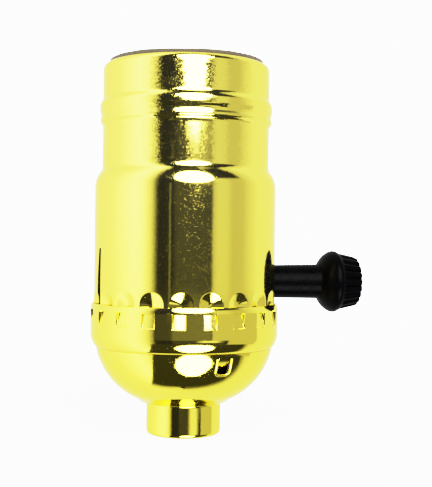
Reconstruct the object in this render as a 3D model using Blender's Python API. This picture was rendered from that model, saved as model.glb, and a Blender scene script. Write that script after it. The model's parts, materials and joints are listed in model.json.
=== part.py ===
"""Turn-knob lamp socket: a stamped brass lampholder for a medium (E26) three-way bulb.

Frame: metres, +Z up along the socket's axis. The origin is the centre of the hub's lower end, where
the lamp's pipe screws in, and +X is the axis of the turn knob.
"""

import math

import bmesh
import bpy
from mathutils import Matrix, Vector

MM = 0.001

# Driving dimensions.
SHEET = 0.35 * MM  # brass sheet of the cap and the outer shell
GAP = 0.3 * MM  # clearance between pieces that touch
SHELL_RADIUS = 18.3 * MM  # outer shell, wide lower part
NECK_RADIUS = 16.85 * MM  # outer shell, narrow upper part
SHELL_BOTTOM = 20.4 * MM
SHELL_TOP = 74.4 * MM
SHOULDER_Z = 49.6 * MM  # where the wide part starts to turn in
# The double bead, upwards: (z, height) in millimetres.
BEAD = ((61.9, 0.0), (62.7, 0.53), (63.9, 0.38), (65.1, 0.6), (66.4, 0.5), (67.3, 0.0))
COLLAR_RADIUS = 18.95 * MM  # cap's collar, which the shell snaps into
COLLAR_TOP = 26.6 * MM
DOME_CENTER = Vector((3.9 * MM, 20.3 * MM))  # (r, z) of the dome's turned arc
DOME_RADIUS = 14.2 * MM
HUB_RADIUS = 7.55 * MM
HUB_TOP = 6.9 * MM
LINER_TOP = 75.3 * MM
KNOB_Z = 30.8 * MM  # height of the switch shaft

FLUTES = 20  # dents round the foot of the shell, and pockets round the collar
FLUTE_PITCH = 2 * math.pi / FLUTES
FLUTE_TURN = math.radians(-102)  # one flute lies here, counted from the knob
FLUTE_HALF_WIDTH = 2.35 * MM
FLUTE_TOP_CENTER = 26.9 * MM
FLUTE_DEPTH = 0.7 * MM
POCKET_TURN = math.radians(-103.1)
POCKET_LOW = 22.5 * MM
POCKET_HIGH = 25.3 * MM
POCKET_DEPTH_LOW = 0.15 * MM
POCKET_DEPTH_HIGH = 0.6 * MM
FOOT_STEP = 0.5 * MM  # the shell is this much slimmer inside the collar
FOOT_STEP_Z = COLLAR_TOP - 1.0 * MM

SLIT_TURN = math.radians(-164.5)  # relief slit in the shell
SLIT_WIDTH = 1.6 * MM
SLIT_TOP = 37.4 * MM
SLOT_HALF_WIDTH = 5.0 * MM  # slot that the switch shaft leaves through
SLOT_CENTER = 32.5 * MM
TONGUE_TURN = math.radians(-74.1)  # lanced tongue in the dome
TONGUE_Z = 15.0 * MM

THREAD_PITCH = 3.629 * MM  # E26, seven turns to the inch
THREAD_DEPTH = 0.45 * MM
THREAD_LOW = 48.6 * MM
THREAD_TURNS = 6
SCREW_SHELL_RADIUS = 13.15 * MM
SCREW_SHELL_BASE = 44.4 * MM
SCREW_SHELL_TOP = 73.0 * MM

BODY_RADIUS = 15.6 * MM  # moulded switch body
BODY_LOW = 20.2 * MM
BODY_HIGH = 40.0 * MM
INSULATOR_LOW = BODY_HIGH + GAP
INSULATOR_HIGH = 43.3 * MM
COVER_LOW = 18.9 * MM
COVER_HIGH = BODY_LOW - GAP
CAVITY_LOW = Vector((-8.5, -6.5, 19.0)) * MM
CAVITY_HIGH = Vector((6.9, 6.5, 37.0)) * MM
RECESS_Y = 10.8 * MM  # flats that the terminals stand on
RECESS_HALF_WIDTH = 6.8 * MM
ASSEMBLY_HOLES = ((-10.5 * MM, -7.5 * MM), (10.5 * MM, 7.5 * MM))

SHAFT_RADIUS = 1.6 * MM
SHAFT_END = 33.6 * MM
BORE_RADIUS = SHAFT_RADIUS + GAP
SHAFT_WELL = 2.9 * MM  # radius of the well that the shaft's clip and bushing sit in
ROTOR_HALF_SQUARE = 2.7 * MM
DRUM_RADIUS = 2.5 * MM
LOBE_RADIUS = 4.0 * MM
CENTER_LOBE_X = -0.8 * MM
RING_LOBE_X = 5.0 * MM
KNOB_TUBE_RADIUS = 3.35 * MM
KNOB_START = 16.3 * MM
KNOB_CREST_X = 31.25 * MM
KNOB_CREST_RADIUS = 6.42 * MM
KNOB_END = 36.5 * MM
KNOB_FLUTES = 20
KNOB_FLUTE_DEPTH = 0.45 * MM

TERMINAL_Z = 28.0 * MM
TERMINAL_FACE_Y = 11.9 * MM  # outer face of a terminal plate
PLATE = 0.5 * MM  # sheet of the terminals
CENTER_RIVET = (-6.3 * MM, 0.0)
RING_RIVET = (5.3 * MM, -4.2 * MM)
FLANGE_RIVET_Y = 11.0 * MM
CONTACT_Z = INSULATOR_HIGH + GAP

# Boxes cut from the mouldings, as their low and high corners.
STRAP_NOTCH = (Vector((-4.6, 10.8, 39.3)) * MM, Vector((4.6, 17.0, 44.0)) * MM)
CONTACT_WELL = (Vector((-4.8, -3.2, 42.0)) * MM, Vector((3.4, 3.2, 44.0)) * MM)
RING_WELL = (Vector((3.9, -3.2, 42.2)) * MM, Vector((6.9, 3.0, 44.0)) * MM)
SHAFT_FACE = (Vector((14.6, -6.0, 25.0)) * MM, Vector((17.0, 6.0, 36.6)) * MM)
LEG_SLOT = (Vector((-2.9, -12.0, 19.0)) * MM, Vector((2.9, -6.0, 21.3)) * MM)

BODY_SCREW_HOLE = 2.0 * MM  # for a terminal screw's shank, in the body
PLATE_SCREW_HOLE = 1.9 * MM  # and in its plate
RIVET_HOLE = 1.2 * MM
FLANGE_HOLE = 1.1 * MM
ASSEMBLY_HOLE = 1.5 * MM
SET_SCREW_Z = 3.4 * MM
SET_SCREW_HOLE = 2.1 * MM

COLUMNS = 40  # facets round a large turned piece
SMALL_COLUMNS = 16  # facets round a screw or a rivet


def clear_scene():
    for old in list(bpy.data.objects):
        bpy.data.objects.remove(old)


def material(name, colour, roughness, metallic):
    made = bpy.data.materials.new(name)
    made.use_nodes = True
    shader = made.node_tree.nodes["Principled BSDF"]
    shader.inputs["Base Color"].default_value = (*colour, 1.0)
    shader.inputs["Roughness"].default_value = roughness
    shader.inputs["Metallic"].default_value = metallic
    return made


def finish_object(name, bm, finish, origin=(0, 0, 0), turn=None):
    """Turns a bmesh into a named object whose origin and rotation are those given."""
    bmesh.ops.remove_doubles(bm, verts=bm.verts, dist=1e-6)
    bmesh.ops.recalc_face_normals(bm, faces=bm.faces)
    mesh = bpy.data.meshes.new(name)
    bm.to_mesh(mesh)
    bm.free()
    mesh.shade_smooth()
    mesh.set_sharp_from_angle(angle=math.radians(35))
    if finish:
        mesh.materials.append(finish)
    made = bpy.data.objects.new(name, mesh)
    bpy.context.scene.collection.objects.link(made)
    made.location = origin
    if turn is not None:
        made.rotation_mode = "QUATERNION"
        made.rotation_quaternion = turn
    return made


def facing(direction):
    """The rotation that takes +Z to this direction."""
    return Vector((0, 0, 1)).rotation_difference(Vector(direction))


def even_angles(count):
    return [2 * math.pi * i / count for i in range(count)]


def grouped_angles(offsets, pitch, start):
    """Columns at the same few offsets in every pitch round the circle."""
    return [
        start + pitch * k + offset
        for k in range(round(2 * math.pi / pitch))
        for offset in offsets
    ]


def turned(name, line, finish, angles=None, closed=True, shift=None, origin=(0, 0, 0), axis=(0, 0, 1)):
    """A turned solid. line is its section, (r, z) points; shift gives another radius at an angle."""
    angles = angles or even_angles(COLUMNS)
    bm = bmesh.new()
    rings = []
    for r, z in line:
        ring = []
        for column, angle in enumerate(angles):
            if shift:
                radius, angle = shift(r, z, angle, column)
            else:
                radius = r
            ring.append(bm.verts.new((radius * math.cos(angle), radius * math.sin(angle), z)))
        rings.append(ring)
    uppers = rings[1:] + rings[:1] if closed else rings[1:]
    for lower, upper in zip(rings, uppers):
        for i in range(len(angles)):
            j = (i + 1) % len(angles)
            bm.faces.new((lower[i], lower[j], upper[j], upper[i]))
    return finish_object(name, bm, finish, origin, facing(axis))


def pin(name, line, finish, origin, axis, columns=SMALL_COLUMNS):
    """A turned solid with no bore: its section starts and ends on the axis."""
    section = [(0.0, line[0][1]), *line, (0.0, line[-1][1])]
    return turned(name, section, finish, even_angles(columns), False, None, origin, axis)


def rod(name, radius, start, end, finish=None, columns=SMALL_COLUMNS, turn=0.0):
    start, end = Vector(start), Vector(end)
    section = [(0.0, 0.0), (radius, 0.0), (radius, (end - start).length), (0.0, (end - start).length)]
    angles = [angle + turn for angle in even_angles(columns)]
    return turned(name, section, finish, angles, False, None, start, end - start)


def block(name, low, high, finish=None, origin=(0, 0, 0), turn=None):
    bm = bmesh.new()
    low, high = Vector(low), Vector(high)
    bmesh.ops.create_cube(bm, size=1)
    bmesh.ops.scale(bm, vec=high - low, verts=bm.verts)
    bmesh.ops.translate(bm, vec=(low + high) / 2, verts=bm.verts)
    return finish_object(name, bm, finish, origin, turn)


def boolean(target, other, operation):
    other.hide_render = True
    other.display_type = "WIRE"
    modifier = target.modifiers.new(other.name, "BOOLEAN")
    modifier.operation = operation
    modifier.solver = "EXACT"
    modifier.object = other


def cut(target, cutter):
    boolean(target, cutter, "DIFFERENCE")


def join(target, other):
    boolean(target, other, "UNION")


def drill(target, name, radius, start, end):
    cut(target, rod("cut_" + name, radius, start, end, columns=12, turn=0.11))


def offset_line(line, distance):
    """The line moved to the left of its own direction, its corners mitred."""
    points = [Vector(p) for p in line]
    normals = []
    for a, b in zip(points, points[1:]):
        along = (b - a).normalized()
        normals.append(Vector((-along.y, along.x)))
    moved = []
    for i, point in enumerate(points):
        before = normals[max(i - 1, 0)]
        after = normals[min(i, len(normals) - 1)]
        mitre = (before + after).normalized()
        moved.append(point + mitre * (distance / max(mitre.dot(after), 0.5)))
    return moved


def sheet(line, thickness):
    """The closed section of a sheet whose outer side is this line, bottom to top."""
    return [*line, *reversed([tuple(p) for p in offset_line(line, thickness)])]


def strip(name, line, thickness, low, high, finish, across):
    """A bent strip: line is its lower side in the plane square to the axis named by across ('X' or 'Y')."""
    loop = sheet(line, thickness)
    bm = bmesh.new()
    ends = []
    for side in (low, high):
        if across == "Y":
            ends.append([bm.verts.new((u, side, w)) for u, w in loop])
        else:
            ends.append([bm.verts.new((side, u, w)) for u, w in loop])
    bm.faces.new(ends[0])
    bm.faces.new(ends[1])
    for i in range(len(loop)):
        j = (i + 1) % len(loop)
        bm.faces.new((ends[0][i], ends[0][j], ends[1][j], ends[1][i]))
    return finish_object(name, bm, finish)


def arc(center, radius, first, last, steps):
    """Points on an arc in the section plane, angles in degrees from +r."""
    points = []
    for i in range(steps + 1):
        angle = math.radians(first + (last - first) * i / steps)
        points.append((center[0] + radius * math.cos(angle), center[1] + radius * math.sin(angle)))
    return points


def polar(radius, angle, z):
    return Vector((radius * math.cos(angle), radius * math.sin(angle), z))


def nearest_flute(angle, start):
    """Signed angle from the nearest flute."""
    return (angle - start + FLUTE_PITCH / 2) % FLUTE_PITCH - FLUTE_PITCH / 2


# Outer shell and its liner.


def shell_line():
    """Outer side of the shell, from its foot to its turned-in rim."""
    shoulder_radius = 5.0 * MM
    fillet_radius = 2.0 * MM
    lean = 35  # degrees between the two arcs
    turn = math.radians(lean)
    both_arcs = shoulder_radius + fillet_radius
    straight = (SHELL_RADIUS - NECK_RADIUS - both_arcs * (1 - math.cos(turn))) / math.sin(turn)
    shoulder = (SHELL_RADIUS - shoulder_radius, SHOULDER_Z)
    fillet_z = SHOULDER_Z + both_arcs * math.sin(turn) + straight * math.cos(turn)
    fillet = (NECK_RADIUS + fillet_radius, fillet_z)
    rim_radius = 1.2 * MM
    return [
        (SHELL_RADIUS, SHELL_BOTTOM),
        (SHELL_RADIUS, FOOT_STEP_Z),
        (SHELL_RADIUS, FOOT_STEP_Z + FOOT_STEP),
        (SHELL_RADIUS, FLUTE_TOP_CENTER),
        (SHELL_RADIUS, FLUTE_TOP_CENTER + FLUTE_HALF_WIDTH / 2),
        (SHELL_RADIUS, FLUTE_TOP_CENTER + FLUTE_HALF_WIDTH),
        *arc(shoulder, shoulder_radius, 0, lean, 2),
        *arc(fillet, fillet_radius, 180 + lean, 180, 2),
        *[(NECK_RADIUS + height * MM, z * MM) for z, height in BEAD],
        *arc((NECK_RADIUS - rim_radius, SHELL_TOP - rim_radius), rim_radius, 0, 75, 2),
    ]


def make_outer_shell(brass):
    near, far = math.radians(4.0), math.radians(7.2)
    even = math.radians(4.5)
    offsets = (-far, -near, near, far)
    fluted_top = FLUTE_TOP_CENTER + FLUTE_HALF_WIDTH + GAP

    def shift(r, z, angle, column):
        if z > fluted_top:
            pair = angle - offsets[column % 4] + (even if column % 4 > 1 else -even)
            return r, pair
        arc_length = SHELL_RADIUS * abs(nearest_flute(angle, FLUTE_TURN))
        away = math.hypot(arc_length, max(z - FLUTE_TOP_CENTER, 0.0))
        fade = min(1.0, max(0.0, (FLUTE_HALF_WIDTH - away) / (FLUTE_HALF_WIDTH - SHELL_RADIUS * near)))
        step = FOOT_STEP if z <= FOOT_STEP_Z else 0.0
        return r - max(FLUTE_DEPTH * fade, step), angle

    angles = grouped_angles(offsets, FLUTE_PITCH, FLUTE_TURN)
    shell = turned("outer_shell", sheet(shell_line(), SHEET), brass, angles, shift=shift)
    cut_shaft_slot(shell, "shell")
    slit = block(
        "cut_slit",
        Vector((SHELL_RADIUS - 2 * MM, -SLIT_WIDTH / 2, SHELL_BOTTOM - 1 * MM)),
        Vector((SHELL_RADIUS + 1 * MM, SLIT_WIDTH / 2, SLIT_TOP)),
        turn=Matrix.Rotation(SLIT_TURN, 3, "Z").to_quaternion(),
    )
    cut(shell, slit)


def cut_shaft_slot(target, name):
    """The slot is open at the foot, so that the shell lifts off over the switch shaft."""
    drill(
        target,
        name + "_slot_top",
        SLOT_HALF_WIDTH,
        (12 * MM, 0, SLOT_CENTER),
        (22 * MM, 0, SLOT_CENTER),
    )
    straight = block(
        "cut_" + name + "_slot",
        Vector((12 * MM, -SLOT_HALF_WIDTH, SHELL_BOTTOM - 1 * MM)),
        Vector((22 * MM, SLOT_HALF_WIDTH, SLOT_CENTER)),
    )
    cut(target, straight)


def make_insulating_liner(fibre):
    lower_radius = 16.9 * MM
    upper_radius = 15.55 * MM
    thickness = 0.75 * MM
    line = [
        (lower_radius, SHELL_BOTTOM),
        (lower_radius, SHOULDER_Z - 0.8 * MM),
        (upper_radius, SHOULDER_Z + 1.2 * MM),
        (upper_radius, LINER_TOP),
    ]
    liner = turned("insulating_liner", sheet(line, thickness), fibre)
    cut_shaft_slot(liner, "liner")


# Cap, its liner and the hub.


def cap_line():
    """Outer side of the cap, from the lip under the hub to the collar's mouth."""
    lip_radius = 5.9 * MM
    edge_radius = 0.85 * MM
    crease_radius = 1.2 * MM
    crease = (17.281 * MM, 18.8 * MM)
    turn_radius = 4.7 * MM
    turn_center = (COLLAR_RADIUS - turn_radius, 20.55 * MM)
    return [
        (lip_radius, 0.0),
        *arc((HUB_RADIUS - edge_radius, edge_radius), edge_radius, -90, 0, 2),
        (HUB_RADIUS, HUB_TOP - 0.8 * MM),
        (HUB_RADIUS + 0.5 * MM, HUB_TOP),
        *arc(DOME_CENTER, DOME_RADIUS, -68.5, -10.5, 6),
        *arc(crease, crease_radius, -52, -30, 1),
        *arc(turn_center, turn_radius, -15, 0, 1),
        (COLLAR_RADIUS, POCKET_LOW - 0.15 * MM),
        (COLLAR_RADIUS, POCKET_LOW),
        (COLLAR_RADIUS, POCKET_HIGH),
        (COLLAR_RADIUS, POCKET_HIGH + 0.15 * MM),
        (COLLAR_RADIUS - 0.2 * MM, COLLAR_TOP),
    ]


def make_cap(brass):
    inner, outer = math.radians(3.3), math.radians(4.1)
    even = math.radians(4.5)
    offsets = (-outer, -inner, inner, outer)

    def shift(r, z, angle, column):
        if z < POCKET_LOW - 1 * MM:
            return r, angle - offsets[column % 4] + (even if column % 4 > 1 else -even)
        in_pocket = POCKET_LOW <= z <= POCKET_HIGH and column % 4 in (1, 2)
        share = (z - POCKET_LOW) / (POCKET_HIGH - POCKET_LOW)
        depth = POCKET_DEPTH_LOW + (POCKET_DEPTH_HIGH - POCKET_DEPTH_LOW) * share
        return r - (depth if in_pocket else 0.0), angle

    angles = grouped_angles(offsets, FLUTE_PITCH, POCKET_TURN)
    line = cap_line()
    inner_line = [(p.x, z) for p, (_, z) in zip(offset_line(line, SHEET), line)]
    pocket_rows = [i for i, (_, z) in enumerate(line) if z >= POCKET_LOW - 0.2 * MM]
    first = pocket_rows[0]
    lower_inner = [tuple(p) for p in offset_line(line, SHEET)[:first]]
    section = [*line, *reversed(lower_inner + inner_line[first:])]
    cap = turned("cap", section, brass, angles, shift=shift)
    turn = Matrix.Rotation(TONGUE_TURN, 3, "Z").to_quaternion()
    window = block(
        "cut_window",
        Vector((14.5, -1.5, -1.7)) * MM,
        Vector((20.0, 1.5, 1.7)) * MM,
        origin=(0, 0, TONGUE_Z),
        turn=turn,
    )
    cut(cap, window)
    lean = Matrix.Rotation(math.radians(38), 3, "Y").to_quaternion()
    tongue = block(
        "add_tongue",
        Vector((-SHEET / 2, -1.1 * MM, -3.0 * MM)),
        Vector((SHEET / 2, 1.1 * MM, 0.35 * MM)),
        origin=polar(17.25 * MM, TONGUE_TURN, TONGUE_Z + 1.7 * MM),
        turn=turn @ lean,
    )
    join(cap, tongue)
    inside, outside = (0, 5 * MM, SET_SCREW_Z), (0, 9 * MM, SET_SCREW_Z)
    drill(cap, "cap_screw_hole", SET_SCREW_HOLE, inside, outside)


def make_cap_liner(fibre):
    line = arc(DOME_CENTER, DOME_RADIUS - SHEET - 0.35 * MM, -68.7, -15.0, 4)
    liner = turned("cap_liner", sheet(line, 0.5 * MM), fibre, even_angles(28))
    turn = Matrix.Rotation(TONGUE_TURN, 3, "Z").to_quaternion()
    notch = block(
        "cut_liner_notch",
        Vector((11.0, -1.7, -2.4)) * MM,
        Vector((20.0, 1.7, 3.0)) * MM,
        origin=(0, 0, TONGUE_Z),
        turn=turn,
    )
    cut(liner, notch)


def make_hub(brass, steel):
    bore, body, flange = 4.85 * MM, HUB_RADIUS - SHEET - GAP, 8.2 * MM
    low, shoulder, top = 0.7 * MM, 7.6 * MM, 8.4 * MM
    section = [(bore, low), (body, low), (body, shoulder), (flange, shoulder), (flange, top), (bore, top)]
    bushing = turned("hub_bushing", section, brass, even_angles(24))
    screw_z = SET_SCREW_Z
    drill(bushing, "bushing_screw_hole", SET_SCREW_HOLE, (0, 4 * MM, screw_z), (0, 8 * MM, screw_z))
    radius, inner, outer = 1.75 * MM, 5.4 * MM, 8.1 * MM
    line = [(1.2 * MM, 0.0), (radius, 0.5 * MM), (radius, outer - inner)]
    screw = pin("hub_set_screw", line, steel, (0, inner, screw_z), (0, 1, 0))
    slot = block(
        "cut_set_screw_slot",
        Vector((-2 * MM, outer - 0.8 * MM, screw_z - 0.3 * MM)),
        Vector((2 * MM, outer + 1 * MM, screw_z + 0.3 * MM)),
    )
    cut(screw, slot)


# Lampholder: screw shell, contacts and their insulator.


def make_screw_shell(aluminium):
    bottom_radius = 0.8 * MM
    wall = SCREW_SHELL_RADIUS - 0.15 * MM
    thread_top = THREAD_LOW + THREAD_TURNS * THREAD_PITCH
    rows = THREAD_TURNS * 4
    line = [
        (9.4 * MM, SCREW_SHELL_BASE),
        *arc((wall - bottom_radius, SCREW_SHELL_BASE + bottom_radius), bottom_radius, -90, 0, 2),
        *[(SCREW_SHELL_RADIUS, THREAD_LOW + THREAD_PITCH * i / 4) for i in range(rows + 1)],
        (SCREW_SHELL_RADIUS + 0.9 * MM, SCREW_SHELL_TOP),
    ]

    def shift(r, z, angle, column):
        if not THREAD_LOW <= z <= thread_top + 1e-9:
            return r, angle
        fade = min(1.0, 2 * (z - THREAD_LOW) / THREAD_PITCH, 2 * (thread_top - z) / THREAD_PITCH)
        wave = math.cos(2 * math.pi * (z - THREAD_LOW) / THREAD_PITCH - angle)
        return r + THREAD_DEPTH * max(fade, 0.0) * wave, angle

    thickness = 0.35 * MM
    inner = [(r - thickness, z) for r, z in line[3:]]
    flange = [tuple(p) for p in offset_line(line[:4], thickness)[:3]]
    section = [*line, *reversed(flange + inner)]
    shell = turned("screw_shell", section, aluminium, even_angles(24), shift=shift)
    for side, name in ((1, "neutral"), (-1, "plain")):
        at = (0, side * FLANGE_RIVET_Y)
        low = (*at, SCREW_SHELL_BASE - 1 * MM)
        drill(shell, name + "_flange_hole", FLANGE_HOLE, low, (*at, SCREW_SHELL_BASE + 1.5 * MM))


def make_upper_insulator(phenolic):
    low, high = INSULATOR_LOW, INSULATOR_HIGH
    radius = BODY_RADIUS - 0.2 * MM
    disc = rod("upper_insulator", radius, (0, 0, low), (0, 0, high), phenolic, COLUMNS)
    cut(disc, block("cut_strap_notch", *STRAP_NOTCH))
    cut(disc, block("cut_contact_well", *CONTACT_WELL))
    cut(disc, block("cut_ring_well", *RING_WELL))
    for i, (x, y) in enumerate(ASSEMBLY_HOLES):
        drill(disc, f"insulator_screw_{i}", ASSEMBLY_HOLE, (x, y, low - 1 * MM), (x, y, low + 2.5 * MM))
    for i, (x, y) in enumerate((CENTER_RIVET, RING_RIVET)):
        drill(disc, f"insulator_rivet_{i}", RIVET_HOLE, (x, y, low - 1 * MM), (x, y, high + 1 * MM))
    y = -FLANGE_RIVET_Y
    drill(disc, "insulator_flange_hole", FLANGE_HOLE, (0, y, low - 1 * MM), (0, y, high + 1 * MM))


def make_contacts(bronze, brass):
    leaf = 0.4 * MM
    z = CONTACT_Z
    x, y = CENTER_RIVET
    half = 2.5 * MM
    center_line = [
        (x - 1.5 * MM, z),
        (-4.2 * MM, z),
        (-1.6 * MM, z + 3.6 * MM),
        (1.6 * MM, z + 3.6 * MM),
        (2.4 * MM, z + 2.6 * MM),
    ]
    center = strip("center_contact", center_line, leaf, -half, half, bronze, "Y")
    drill(center, "center_contact_hole", 1.25 * MM, (x, y, z - 1 * MM), (x, y, z + 1 * MM))
    x, y = RING_RIVET
    half = 1.2 * MM
    ring_line = [
        (y - 1.2 * MM, z),
        (-2.4 * MM, z),
        (-0.6 * MM, z + 2.0 * MM),
        (1.2 * MM, z + 2.0 * MM),
        (1.8 * MM, z + 1.4 * MM),
    ]
    ring = strip("ring_contact", ring_line, leaf, x - half, x + half, bronze, "X")
    drill(ring, "ring_contact_hole", 0.95 * MM, (x, y, z - 1 * MM), (x, y, z + 1 * MM))
    for name, (x, y), shank in (
        ("center_contact_rivet", CENTER_RIVET, 0.9 * MM),
        ("ring_contact_rivet", RING_RIVET, 0.65 * MM),
    ):
        rivet(name, (x, y, 37.3 * MM), z + leaf + GAP, shank, brass)
    low = INSULATOR_LOW + 0.5 * MM
    top = SCREW_SHELL_BASE + 0.35 * MM + GAP
    rivet("neutral_rivet", (0, FLANGE_RIVET_Y, CONTACT_Z), top, 0.8 * MM, brass)
    rivet("flange_rivet", (0, -FLANGE_RIVET_Y, low), top, 0.8 * MM, brass)


def rivet(name, foot, head_z, shank, finish):
    """An upright rivet with a domed head that starts at head_z."""
    length = head_z - foot[2]
    head = shank + 0.7 * MM
    line = [
        (shank, 0.0),
        (shank, length),
        (head, length),
        (head - 0.15 * MM, length + 0.4 * MM),
        (shank - 0.2 * MM, length + 0.75 * MM),
    ]
    pin(name, line, finish, foot, (0, 0, 1), 12)


# Switch: body, cover, terminals, springs.


def make_switch_body(phenolic):
    body = rod("switch_body", BODY_RADIUS, (0, 0, BODY_LOW), (0, 0, BODY_HIGH), phenolic, COLUMNS)
    cut(body, block("cut_cavity", CAVITY_LOW, CAVITY_HIGH))
    for side, name in ((1, "neutral"), (-1, "line")):
        near, far = sorted((side * RECESS_Y, side * 17 * MM))
        low = Vector((-RECESS_HALF_WIDTH, near, BODY_LOW - 1 * MM))
        high = Vector((RECESS_HALF_WIDTH, far, BODY_HIGH + 1 * MM))
        cut(body, block(f"cut_{name}_recess", low, high))
        start = (0, side * (RECESS_Y + 1 * MM), TERMINAL_Z)
        drill(body, f"{name}_screw_hole", BODY_SCREW_HOLE, start, (0, side * 7.3 * MM, TERMINAL_Z))
    cut(body, block("cut_shaft_face", *SHAFT_FACE))
    drill(body, "shaft_bore", SHAFT_WELL, (6 * MM, 0, KNOB_Z), (16 * MM, 0, KNOB_Z))
    drill(body, "shaft_seat", BORE_RADIUS, (-11 * MM, 0, KNOB_Z), (-8 * MM, 0, KNOB_Z))
    cut(body, block("cut_leg_slot", *LEG_SLOT))
    for i, (x, y) in enumerate(ASSEMBLY_HOLES):
        drill(body, f"body_screw_{i}", ASSEMBLY_HOLE, (x, y, BODY_LOW - 1 * MM), (x, y, BODY_HIGH + 1 * MM))
    for i, (x, y) in enumerate((CENTER_RIVET, RING_RIVET)):
        drill(body, f"body_rivet_{i}", RIVET_HOLE, (x, y, 36 * MM), (x, y, BODY_HIGH + 1 * MM))


def make_switch_cover(fibre):
    radius = BODY_RADIUS + 0.2 * MM
    cover = rod("switch_cover", radius, (0, 0, COVER_LOW), (0, 0, COVER_HIGH), fibre, 32)
    low, high = COVER_LOW - 1 * MM, COVER_HIGH + 1 * MM
    for i, (x, y) in enumerate(ASSEMBLY_HOLES):
        drill(cover, f"cover_screw_{i}", ASSEMBLY_HOLE, (x, y, low), (x, y, high))


def make_assembly_screws(steel):
    """The two long screws that hold cover, body and upper insulator together."""
    head, head_height, shank = 2.2 * MM, 1.4 * MM, 1.2 * MM
    foot = COVER_LOW - GAP - head_height
    length = 42.5 * MM - foot
    for name, (x, y) in zip(("assembly_screw_a", "assembly_screw_b"), ASSEMBLY_HOLES):
        line = [
            (head - 0.4 * MM, 0.0),
            (head, 0.4 * MM),
            (head, head_height),
            (shank, head_height),
            (shank, length),
        ]
        screw = pin(name, line, steel, (x, y, foot), (0, 0, 1), 12)
        slot_low = Vector((x - 3 * MM, y - 0.35 * MM, foot - 1 * MM))
        slot_high = Vector((x + 3 * MM, y + 0.35 * MM, foot + 0.7 * MM))
        cut(screw, block("cut_slot_" + name, slot_low, slot_high))


def make_terminals(brass, nickel):
    face = TERMINAL_FACE_Y
    half = 4.0 * MM
    top_z = CONTACT_Z
    neutral_line = [
        (face, 23.0 * MM),
        (face, top_z + 0.5 * MM),
        (9.8 * MM, top_z + 0.5 * MM),
    ]
    neutral = strip("neutral_terminal", neutral_line, PLATE, -half, half, nickel, "X")
    y = FLANGE_RIVET_Y
    drill(neutral, "strap_hole", FLANGE_HOLE, (0, y, top_z - 1 * MM), (0, y, top_z + 2 * MM))
    leg_z = BODY_LOW + GAP
    line_inner = [
        (-3.0 * MM, leg_z + PLATE),
        (-face + PLATE, leg_z + PLATE),
        (-face + PLATE, 33.0 * MM),
    ]
    line_half = 2.6 * MM
    line = strip("line_terminal", line_inner, PLATE, -line_half, line_half, brass, "X")
    for side, target, name, finish in ((1, neutral, "neutral", nickel), (-1, line, "line", brass)):
        drill(
            target,
            name + "_plate_hole",
            PLATE_SCREW_HOLE,
            (0, side * (face + 1 * MM), TERMINAL_Z),
            (0, side * (face - 1.2 * MM), TERMINAL_Z),
        )
        terminal_screw(name + "_terminal_screw", side, finish)


def terminal_screw(name, side, finish):
    """A binding-head screw; its origin is under its head, on its own axis."""
    head, height, shank, length = 3.2 * MM, 1.8 * MM, 1.6 * MM, 4.5 * MM
    under_head = side * (TERMINAL_FACE_Y + GAP)
    line = [
        (shank, -length),
        (shank, 0.0),
        (head, 0.0),
        (head, height - 0.6 * MM),
        (head - 0.7 * MM, height),
    ]
    screw = pin(name, line, finish, (0, under_head, TERMINAL_Z), (0, side, 0))
    bottom, top = sorted((under_head + side * (height - 0.8 * MM), under_head + side * (height + 1 * MM)))
    slot = block(
        "cut_slot_" + name,
        Vector((-4 * MM, bottom, TERMINAL_Z - 0.4 * MM)),
        Vector((4 * MM, top, TERMINAL_Z + 0.4 * MM)),
    )
    cut(screw, slot)


def make_springs(bronze, spring_steel):
    leaf = 0.3 * MM
    top = CAVITY_HIGH.z - GAP - leaf
    touch = KNOB_Z + LOBE_RADIUS + GAP
    blade = [
        (CENTER_RIVET[0] - 1.2 * MM, top),
        (CENTER_RIVET[0] + 1.8 * MM, top),
        (CENTER_LOBE_X - 0.8 * MM, touch),
        (CENTER_LOBE_X + 0.8 * MM, touch),
        (CENTER_LOBE_X + 1.6 * MM, touch + 0.5 * MM),
    ]
    strip("center_blade", blade, leaf, -1.0 * MM, 1.0 * MM, bronze, "Y")
    blade = [
        (RING_RIVET[1] - 1.2 * MM, top),
        (RING_RIVET[1] + 1.4 * MM, top),
        (-0.8 * MM, touch),
        (0.8 * MM, touch),
        (1.6 * MM, touch + 0.5 * MM),
    ]
    strip("ring_blade", blade, leaf, RING_LOBE_X - 0.6 * MM, RING_LOBE_X + 1.2 * MM, bronze, "X")
    foot = BODY_LOW + 2 * GAP + 0.5 * MM
    sleeve_bottom = KNOB_Z - DRUM_RADIUS - 0.6 * MM - GAP
    brush = [
        (-5.6 * MM, foot),
        (-1.0 * MM, foot),
        (2.8 * MM, foot + 3.4 * MM),
        (1.4 * MM, sleeve_bottom - leaf),
        (-1.6 * MM, sleeve_bottom - leaf),
    ]
    strip("line_brush", brush, leaf, 1.2 * MM, 2.8 * MM, bronze, "X")
    flat = KNOB_Z - ROTOR_HALF_SQUARE - GAP
    low = COVER_HIGH + GAP
    arch = [
        (6.0 * MM, low),
        (6.0 * MM, flat - 1.4 * MM),
        (4.5 * MM, flat),
        (-4.5 * MM, flat),
        (-6.0 * MM, flat - 1.4 * MM),
        (-6.0 * MM, low),
    ]
    strip("detent_spring", arch, leaf, -6.6 * MM, -4.4 * MM, spring_steel, "X")


# Turning parts, modelled along Z from the shaft's own origin and laid along +X.


def along_shaft(x):
    return (x, 0, KNOB_Z)


def turned_on_shaft(name, line, finish, columns=SMALL_COLUMNS, shift=None, closed=True):
    angles = even_angles(columns)
    return turned(name, line, finish, angles, closed, shift, along_shaft(0), (1, 0, 0))


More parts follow.
